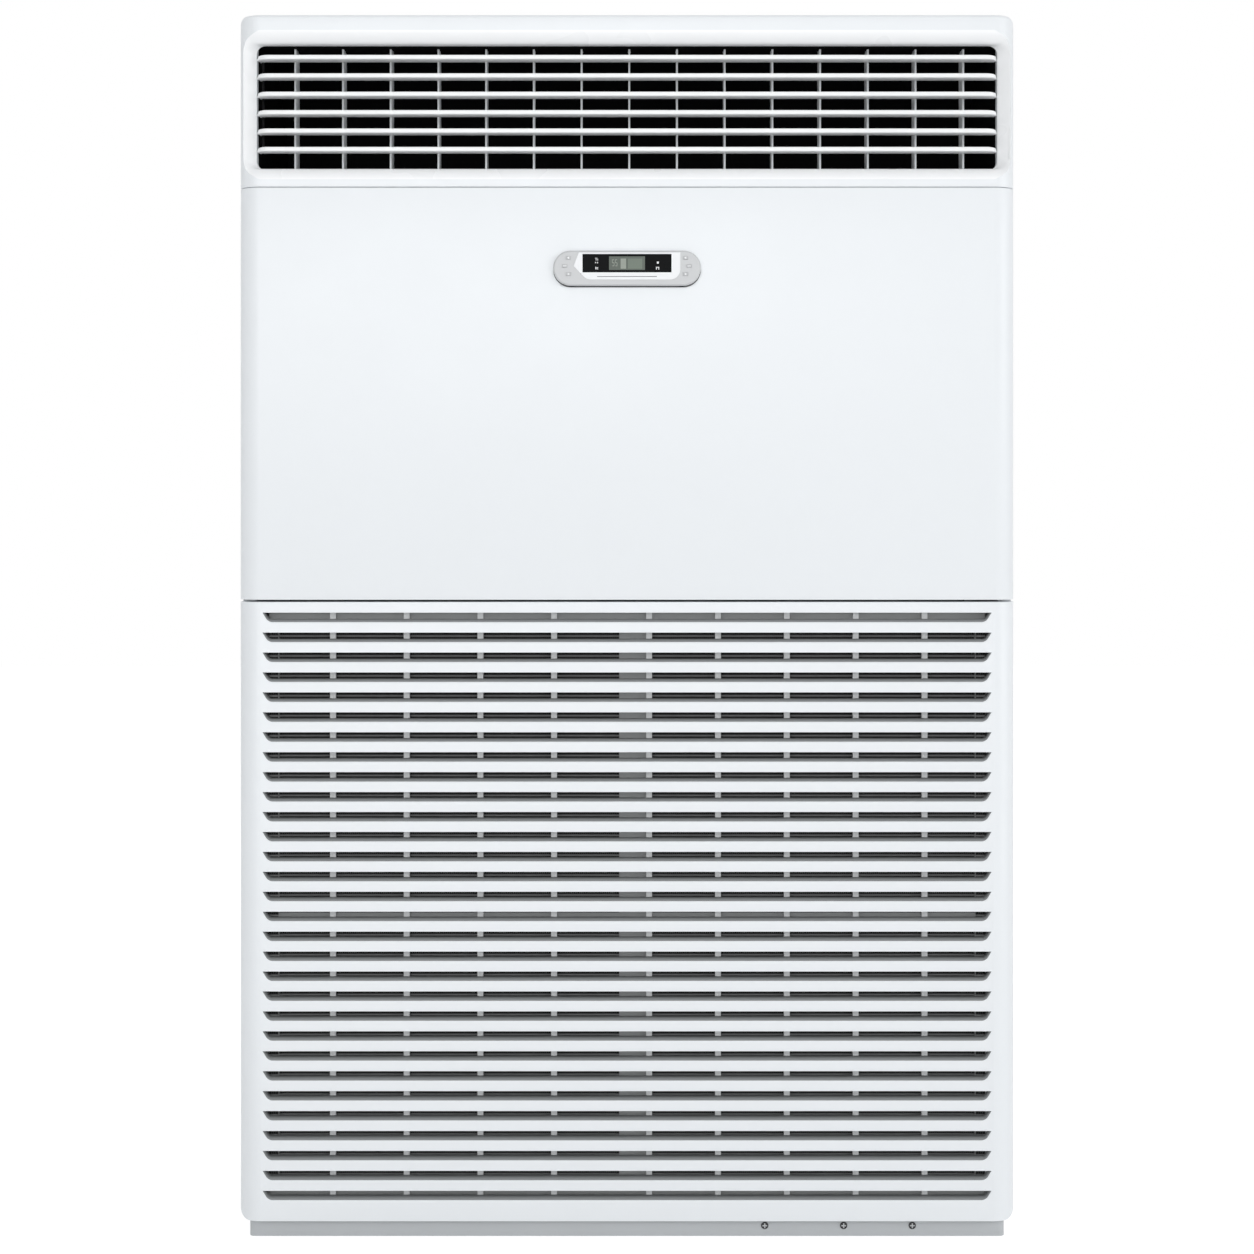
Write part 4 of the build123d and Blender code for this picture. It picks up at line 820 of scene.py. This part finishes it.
def add_loop(shape, loops, y, corners, radii, segments):
    """A flat loop through four corners, given as X and Z, each turned with its own radius."""
    before = set(shape.faces)
    verts = [shape.verts.new((x, y, z)) for x, z in corners]
    shape.faces.new(verts)
    for vert, radius in zip(verts, radii):
        if radius:
            bmesh.ops.bevel(shape, geom=[vert], offset=radius, segments=segments, profile=0.5,
                            affect="VERTICES", material=-1)
    loops.append(next(face for face in shape.faces if face not in before))


def skin_between(shape, loops):
    """Joins a row of flat loops, each given as a face, into one closed shape."""
    rims = [list(face.edges) for face in loops]
    bmesh.ops.delete(shape, geom=loops[1:-1], context="FACES_ONLY")
    for near, far in zip(rims, rims[1:]):
        bmesh.ops.bridge_loops(shape, edges=near + far)
    bmesh.ops.recalc_face_normals(shape, faces=shape.faces)


def give_wall(piece):
    """Gives an open skin its wall, on the inner side."""
    wall = piece.modifiers.new("wall", "SOLIDIFY")
    wall.thickness = WALL
    wall.offset = -1.0
    wall.use_even_offset = True


low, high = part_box("outlet_bezel")
bezel = wrapped_block(low, high, TOP_RIM, 5, RIM, 3)
bezel = carve(bezel, elevation_outline(low, high, SHOULDER, high.z, 8), "INTERSECT")
funnel = bmesh.new()
loops = []
for depth, roll, climb in LIP:
    spread = 1.0 - depth * MM / FLARE_DEPTH
    half = opening_half + spread * FLARE_SIDE
    foot = opening_foot - climb * FLARE_RISE - roll * MM
    head = opening_head + climb * FLARE_RISE + roll * MM
    add_loop(funnel, loops, low.y + depth * MM,
             ((-half, foot), (half, foot), (half, head), (-half, head)),
             [OPENING_CORNER + CORNER_GROWTH * spread] * 4, 8)
add_loop(funnel, loops, high.y + OVERRUN,
         ((-opening_half, opening_foot), (opening_half, opening_foot),
          (opening_half, opening_head), (-opening_half, opening_head)), [OPENING_CORNER] * 4, 8)
skin_between(funnel, loops)
bezel = carve(bezel, funnel)
# the back is open, and so is the neck behind the flare
mouth = low.y + FLARE_DEPTH
gone = [face for face in bezel.faces
        if all(vert.co.y > high.y - TINY for vert in face.verts)
        or (min(vert.co.y for vert in face.verts) > mouth - TINY
            and max(abs(vert.co.x) for vert in face.verts) < opening_half + TINY
            and min(vert.co.z for vert in face.verts) > opening_foot - TINY
            and max(vert.co.z for vert in face.verts) < opening_head + TINY)]
bmesh.ops.delete(bezel, geom=gone, context="FACES")
# painted highlight: what faces the middle of the mouth, the flare, is given a brighter white than the rest of the
# moulding
middle_z = (opening_foot + opening_head) / 2
bezel.normal_update()
mark_second(bezel, lambda place, normal: (place.x * normal.x < -0.05 * abs(place.x)
                                          or (place.z - middle_z) * normal.z < -0.02))
give_wall(finish_piece("outlet_surround", bezel, moulding, "cabinet",
                       ("outlet_bezel",), crease=24.0, second=flare_painted_highlight))
# two fillets turn the hood's lower front corners
MOUTH_CORNER = 12.0 * MM
ARC_STEPS = 8
fillets = bmesh.new()
for side in (-1, 1):
    fillet = bmesh.new()
    fillet.verts.new((side * opening_half, duct_low.y, opening_foot))
    x = side * (opening_half - MOUTH_CORNER)
    turned(fillet, fillet.verts.new((x, duct_low.y, opening_foot)),
           (x, duct_low.y, opening_foot + MOUTH_CORNER), -90 * side, ARC_STEPS, (0.0, 1.0, 0.0))
    merge(fillets, draw_out(fillet, (0.0, MOUTH_DEPTH, 0.0)))
finish_piece("mouth_fillets", fillets, moulding, "cabinet")

# ---------------------------------------------------------------- upper front panel
# A plain white panel between the outlet and the grille, moulded in one with its wrapped
# sides. Its middle is cut out behind the display for the wires.
DISPLAY_HOLE_HALF = Vector((96.0 * MM, 0.0, 17.0 * MM))
SEAM_EASE = 1.35 * MM                   # the panel's foot stands this much clear of its joint
SHARP_RIM = 0.8 * MM
low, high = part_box("upper_front_panel")
display_low, display_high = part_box("display_bezel")
display_middle = (display_low + display_high) / 2
low.z += SEAM_EASE
panel = wrapped_block(low, high, RIM, 3, SHARP_RIM, 2)
back = [face for face in panel.faces if all(vert.co.y > high.y - TINY for vert in face.verts)]
bmesh.ops.delete(panel, geom=back, context="FACES")
for axis in (0, 2):
    across = Vector((0.0, 0.0, 0.0))
    across[axis] = 1.0
    for side in (-1, 1):
        cut = display_middle + side * DISPLAY_HOLE_HALF[axis] * across
        bmesh.ops.bisect_plane(panel, geom=panel.verts[:] + panel.edges[:] + panel.faces[:],
                               plane_co=cut, plane_no=across, dist=TINY)
hole = [face for face in panel.faces
        if face.calc_center_median().y < low.y + TINY
        and abs(face.calc_center_median().x - display_middle.x) < DISPLAY_HOLE_HALF.x
        and abs(face.calc_center_median().z - display_middle.z) < DISPLAY_HOLE_HALF.z]
bmesh.ops.delete(panel, geom=hole, context="FACES")
give_wall(finish_piece("upper_panel", panel, moulding, "cabinet",
                       ("upper_front_panel",), crease=24.0))

# ---------------------------------------------------------------- intake grille
# The lower front is one white moulding with thirty slots. Each slat has a round roll at its
# top that turns back into the slot, and the same roll runs up both ends of every slot.
GRILLE_RISE = 27.5 * MM                 # the grille's foot above the base pan's
GRILLE_RIM = 1.2 * MM
FOOT_RADIUS = 19.0 * MM
SLOT_COUNT = 30
SLOT_MARGIN = 36.5 * MM
SLOT_LEAN = 11.0 * MM
SLOT_CORNER = 8.0 * MM
END_ROLL = 0.6                          # a slot's ends roll in by this share of the slat's roll
FIRST_SLOT_DROP = 16.4 * MM
LAST_SLAT_RISE = 16.1 * MM
SLAT_FACE = 12.5 * MM
SLAT_ROLL = 8.0 * MM
SLAT_DEPTH = 16.0 * MM
ROLL_STEPS = 6
END_WALL = 4.5 * MM
WINDOW_MARGIN = 15.5 * MM
LIP_DEPTH = 10.0 * MM
FLOOR_MARGIN = 0.5 * MM
ROLL_EDGE = 0.9 * MM                    # the painted shade inside a slot starts this far back
# painted shade: the grey that stands in for shade inside the slots
SLOT_PAINTED_SHADE = (0.27, 0.28, 0.285)
low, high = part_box("intake_grille")
low.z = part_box("base_pan")[0].z + GRILLE_RISE
slot_pitch = (high.z - low.z - FIRST_SLOT_DROP - LAST_SLAT_RISE) / SLOT_COUNT
first_lip = high.z - FIRST_SLOT_DROP
last_foot = first_lip - SLOT_COUNT * slot_pitch
slot_half = high.x - SLOT_MARGIN
window_half = slot_half - WINDOW_MARGIN
grille = wrapped_block(low, high, GRILLE_RIM, 3)
# the lower corners are round as seen from the front
grille = carve(grille, elevation_outline(low, high + Vector((0.0, 0.0, WALL)), FOOT_RADIUS,
                                         low.z, 8), "INTERSECT")
# hollow behind, apart from the thick field of slats
room = wrapped_block(low + Vector((WALL, WALL, WALL)), high + Vector((-WALL, CLEAR, -WALL)))
room = carve(room, elevation_outline(low + Vector((WALL, 0.0, WALL)),
                                     high - Vector((WALL, 0.0, 0.0)), FOOT_RADIUS - WALL,
                                     low.z + WALL, 6), "INTERSECT")
room = carve(room, block((-slot_half - END_WALL, low.y - CLEAR, last_foot),
                         (slot_half + END_WALL, low.y + SLAT_DEPTH, first_lip + WALL)))
grille = carve(grille, room)
# the floor is cut back to a short lip, so that the grille can tilt
grille = carve(grille, block((-high.x + FOOT_RADIUS, low.y + LIP_DEPTH, low.z - CLEAR),
                             (high.x - FOOT_RADIUS, high.y + CLEAR, low.z + WALL + FLOOR_MARGIN)))
# one slot, as the depth behind the front and the rise of the roll there
slots = bmesh.new()
loops = []
turns = [math.radians(90 * k / ROLL_STEPS) for k in range(ROLL_STEPS + 1)]
steps = [(SLAT_ROLL * (1 - math.cos(turn)), SLAT_ROLL * math.sin(turn)) for turn in turns]
steps = [(-OVERRUN, 0.0)] + steps + [(SLAT_DEPTH + OVERRUN, SLAT_ROLL)]
slot_height = slot_pitch - SLAT_FACE
for depth, rise in steps:
    top_half = slot_half - END_ROLL * rise
    foot_half = top_half - SLOT_LEAN * (slot_height - rise) / slot_height
    corner = SLOT_CORNER - 0.5 * rise
    foot = first_lip - slot_height + rise
    add_loop(slots, loops, low.y + depth,
             ((-top_half, first_lip), (-foot_half, foot), (foot_half, foot),
              (top_half, first_lip)), [0.0, corner, corner, 0.0], 5)
skin_between(slots, loops)
# the pocket behind one slat
first_slat = first_lip - slot_pitch
pocket_front = low.y + WALL
pockets = block((-window_half, pocket_front, first_slat - BITE),
                (window_half, low.y + SLAT_DEPTH + CLEAR,
                 first_slat + SLAT_FACE + SLAT_ROLL - WALL))
shoulder = edges_where(pockets, lambda co: co.y < pocket_front + TINY and co.z > first_slat)
round_edges(pockets, shoulder, SLAT_ROLL - WALL, 4)
# the other slots and pockets, below the first
for pattern in (slots, pockets):
    first = pattern.verts[:] + pattern.edges[:] + pattern.faces[:]
    for n in range(1, SLOT_COUNT):
        shift(pattern, bmesh.ops.duplicate(pattern, geom=first)["geom"],
              (0.0, 0.0, -n * slot_pitch))
    grille = carve(grille, pattern)
# hinge lugs at the foot, with their stub pins
HINGE_MARGIN = 170.0 * MM
LUG_HALF = 4.0 * MM
LUG_RISE = 14.0 * MM
LUG_ROUND = 4.4 * MM
STUB_HALF = 7.5 * MM
STUB_RADIUS = 2.4 * MM
hinge_y, hinge_z = joint_place("grille_tilt")[1:]
for side in (-1, 1):
    x = side * (high.x - HINGE_MARGIN)
    add_block(grille, (x - LUG_HALF, low.y + BITE, hinge_z - LUG_ROUND),
              (x + LUG_HALF, hinge_y, hinge_z + LUG_RISE))
    for half, radius, sides in ((LUG_HALF, LUG_ROUND, 20), (STUB_HALF, STUB_RADIUS, 14)):
        add_rod(grille, (x - half, hinge_y, hinge_z), (x + half, hinge_y, hinge_z), radius, sides)
# painted shade: the insides of the slots, from a little way up each roll, are coloured grey where shade falls
mark_second(grille, lambda place, normal: (
    abs(place.x) < slot_half and last_foot < place.z < first_lip + TINY
    and place.y > low.y + ROLL_EDGE / 3))
slot_painted_shade = skinned("moulding grey inside its slots", SLOT_PAINTED_SHADE, 0.6, (0.7, 0.012), spread=0.02,
                    gloss=0.2)
tint_ahead(slot_painted_shade, low.y + ROLL_EDGE, MOULDING_WHITE)
finish_piece("louvred_front", grille, moulding, "grille", ("intake_grille",),
             crease=28.0, second=slot_painted_shade)

# ---------------------------------------------------------------- filters
# Behind the slats a grey lattice, moulded in one with its ribs, holds four dust filters. Each
# is a fine dark net of round threads in a thin plastic border. A pale band is painted across the
# net behind the middle of each slot, as painted light where light through the slot falls on it.
LATTICE_GREY = (0.36, 0.37, 0.375)
RIB_FRONT_PAINTED_LIGHT = (0.76, 0.775, 0.785)
RIB_DEPTH = 2.0 * MM                    # how far back the painted light on each rib's front reaches
BORDER = 2.0 * MM                       # the net lies this far behind the lattice's front
HEM_WIDTH = 15.0 * MM
HEM_THICKNESS = 0.6 * MM
THREAD_PITCH = 3.2 * MM
LIT_BAND_DROP = 5.4 * MM                    # the painted light band's middle below the slot's upper lip
LIT_BAND_WIDTH = 1.7 * MM
lattice = skinned("grey lattice plastic", LATTICE_GREY, 0.5, (1.0, 0.02), spread=0.06)
lattice_low, lattice_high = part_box("filter_frame")
net_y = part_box("filter_1")[0].y
lattice_front = net_y - BORDER
# painted light: the ribs' fronts, nearest the slots, get a paler grey where more light reaches them
tint_ahead(lattice, lattice_front - RIB_DEPTH, RIB_FRONT_PAINTED_LIGHT)
coat_node("filter_frame", lattice)
# painted light: a pale band across the net in each slot, placed by the eye's height so it sits mid-slot
spread = 1.0 + (net_y - FRONT_Y) / EYE_DISTANCE
lit_band_height = EYE_HEIGHT + (first_lip - LIT_BAND_DROP - EYE_HEIGHT) * spread
net = lined("dark filter net", (0.36, 0.365, 0.37), (0.006, 0.006, 0.0065), 0.6,
            [((1.0, 0.0, 0.0), THREAD_PITCH, 0.45, 0.0, 0.12),
             ((0.0, 0.0, 1.0), slot_pitch * spread, LIT_BAND_WIDTH / slot_pitch, lit_band_height, 1.0)],
            gloss=0.1)
for n in range(1, 5):
    coat_node("filter_%d" % n, net)
# the net's hem is welded over the lattice's two outer stiles
hem = bmesh.new()
for side in (-1, 1):
    x0, x1 = sorted((side * lattice_high.x, side * (lattice_high.x - HEM_WIDTH)))
    add_block(hem, (x0, lattice_front - HEM_THICKNESS, lattice_low.z + HEM_WIDTH),
              (x1, lattice_front, lattice_high.z - HEM_WIDTH))
finish_piece("net_hems", hem, net, "grille")

# ---------------------------------------------------------------- display
# A silver-painted oval cap snaps on the panel over the circuit board; in it lie a white plate
# and the black window of the display. A dark seat under the cap shows a little below it as a painted shadow.
SILVER = (0.58, 0.59, 0.60)
CAP_ROUND = 3.4 * MM
SEAT_DROP = 2.0 * MM
SEAT_HEIGHT = 2.6 * MM
OUTLINE_MARGIN = 0.6 * MM
cap_half_height = (display_high.z - display_low.z) / 2
cap_straight = display_high.x - cap_half_height


def on_cap_outline(co):
    """Whether a point lies on the oval's outer outline, in its front plane."""
    beyond = max(abs(co.x) - cap_straight, 0.0)
    away = math.hypot(beyond, co.z - display_middle.z)
    return co.y < display_low.y + TINY and abs(away - cap_half_height) < OUTLINE_MARGIN


silver_paint = skinned("silver painted cap", SILVER, 0.38, (0.5, 0.01), spread=0.05)
cap = merged_node("display_bezel")
bmesh.ops.dissolve_limit(cap, angle_limit=math.radians(0.5), verts=cap.verts, edges=cap.edges)
round_edges(cap, edges_where(cap, on_cap_outline), CAP_ROUND, 4)
finish_piece("display_cap", cap, silver_paint, "cabinet", ("display_bezel",))
# painted shadow: a dark seat that shows below the cap where its shadow falls
seat_painted_shadow = skinned("dark rubber seat", (0.10, 0.102, 0.104), 0.8, (1.0, 0.02), spread=0.1,
                 gloss=0.2)
seat = bmesh.new()
seat_z = display_middle.z - SEAT_DROP
seat_front = display_high.y - SEAT_HEIGHT
for x in (-cap_straight, cap_straight):
    add_rod(seat, (x, display_high.y, seat_z), (x, seat_front, seat_z), cap_half_height, 40)
add_block(seat, (-cap_straight, seat_front, seat_z - cap_half_height),
          (cap_straight, display_high.y, seat_z))
finish_piece("display_seat", seat, seat_painted_shadow, "cabinet")
plate_white = skinned("white display plate", (0.84, 0.855, 0.87), 0.32, (0.6, 0.008),
                      spread=0.02)
smooth_copy("display_surround", "display_plate", plate_white)
window_black = skinned("black window pane", (0.006, 0.0065, 0.007), 0.3, (4.0, 0.002),
                       spread=0.1, gloss=0.03)
coat_node("display_window", window_black)
board_green = skinned("green circuit board", (0.03, 0.14, 0.07), 0.4, (2.0, 0.03), spread=0.3)
coat_node("display_board", board_green)

# ---------------------------------------------------------------- display figures
# The liquid crystal field is a grey-green pane in the middle of the window. A figure, a bar
# and faint segments show in it; small white lamps stand in two columns beside it.
PRINT_DEPTH = 0.12 * MM
window_low, window_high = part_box("display_window")
window_middle = (window_low + window_high) / 2


def printed(name, finish, patches, layer=1):
    """Thin printed patches on the window, each with its middle, width and height in millimetres."""
    shape = bmesh.new()
    front = window_low.y - layer * PRINT_DEPTH
    for x, z, width, height in patches:
        middle_x, middle_z = window_middle.x + x * MM, window_middle.z + z * MM
        add_block(shape, (middle_x - width * MM / 2, front, middle_z - height * MM / 2),
                  (middle_x + width * MM / 2, front + PRINT_DEPTH, middle_z + height * MM / 2))
    finish_piece(name, shape, finish, "cabinet")


field_green = skinned("liquid crystal pane", (0.115, 0.135, 0.115), 0.35, (9.0, 0.002),
                      spread=0.35, gloss=0.2)
printed("crystal_field", field_green, [(0.0, 0.0, 55.2, 20.8)])
segment_pale = skinned("pale segments", (0.30, 0.33, 0.29), 0.4, (3.0, 0.002), spread=0.2,
                       gloss=0.2)
figure = [(-5.6, -0.8, 8.4, 15.6)]
for x in (-21.2, -16.6):
    # the bars of a small figure
    figure += [(x, z, 3.0, 0.9) for z in (-4.2, 0.6, 5.2)]
    figure += [(x - 1.4, 2.9, 0.8, 4.2), (x + 1.4, -1.8, 0.8, 4.2)]
printed("crystal_figures", segment_pale, figure, layer=2)
segment_dim = skinned("dim segments", (0.17, 0.205, 0.17), 0.4, (3.0, 0.002), spread=0.2,
                      gloss=0.2)
printed("crystal_dim_area", segment_dim, [(12.4, -0.8, 22.0, 15.6)], layer=2)
lamp_white = skinned("small white marks", (0.80, 0.81, 0.82), 0.4, (1.0, 0.004), spread=0.2)
printed("window_marks", lamp_white,
        [(-47.5, 7.6, 3.4, 0.7), (-47.5, 5.4, 0.8, 2.6), (-45.0, 5.4, 0.8, 2.6),
         (-48.2, 0.8, 1.6, 1.4), (-45.2, 0.8, 1.2, 2.2),
         (-47.8, -7.6, 1.6, 3.6), (-45.4, -6.9, 2.0, 1.2), (-45.4, -8.9, 2.0, 1.2),
         (47.4, 0.8, 3.0, 3.2), (47.0, -6.4, 5.0, 1.1), (45.2, -8.4, 1.2, 3.0),
         (48.8, -8.4, 1.2, 3.0)])
RULE_HALF = 46.0 * MM
RULE_WIDTH = 1.2 * MM
RULE_DROP = 1.5 * MM                    # below the middle of the plate's lower margin
rule_grey = skinned("grey printed rule", (0.22, 0.23, 0.235), 0.5, (1.0, 0.004), spread=0.2)
plate_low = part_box("display_plate")[0]
rule_z = (plate_low.z + window_low.z) / 2 - RULE_DROP
rule = block((-RULE_HALF, plate_low.y - PRINT_DEPTH, rule_z),
             (RULE_HALF, plate_low.y, rule_z + RULE_WIDTH))
finish_piece("plate_rule", rule, rule_grey, "cabinet")

# ---------------------------------------------------------------- press keys
# The six press keys are small silver buttons with a raised pale sign on each: an arrow up, a
# dash and an arrow down. They stand a little proud of the wings.
SIGN_HEIGHT = 0.25 * MM
SIGN_SIZE = 2.6 * MM
ARROW_RADIUS = SIGN_SIZE * 0.9
key_silver = skinned("silver key plastic", (0.50, 0.51, 0.52), 0.4, (0.5, 0.01), spread=0.05)
sign_pale = skinned("pale key signs", (0.84, 0.85, 0.86), 0.4, (0.5, 0.004), spread=0.05)
for side in ("left", "right"):
    for n in (1, 2, 3):
        key = "%s_%d" % (side, n)
        smooth_copy("button_" + key, "key_" + key, key_silver)
        low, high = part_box("key_" + key)
        middle = (low + high) / 2
        sign = bmesh.new()
        if n == 2:
            reach = Vector((SIGN_SIZE, SIGN_HEIGHT, SIGN_SIZE / 4))
            face_middle = Vector((middle.x, low.y, middle.z))
            add_block(sign, face_middle - reach, face_middle + reach)
        else:
            place = (Matrix.Translation((middle.x, low.y, middle.z))
                     @ Matrix.Rotation(math.radians(90), 4, "X")
                     @ Matrix.Rotation(math.radians(90 if n == 1 else -90), 4, "Z"))
            bmesh.ops.create_cone(sign, cap_ends=True, segments=3, radius1=ARROW_RADIUS,
                                  radius2=ARROW_RADIUS, depth=2 * SIGN_HEIGHT, matrix=place)
        finish_piece("button_sign_" + key, sign, sign_pale, "press_key_" + key)
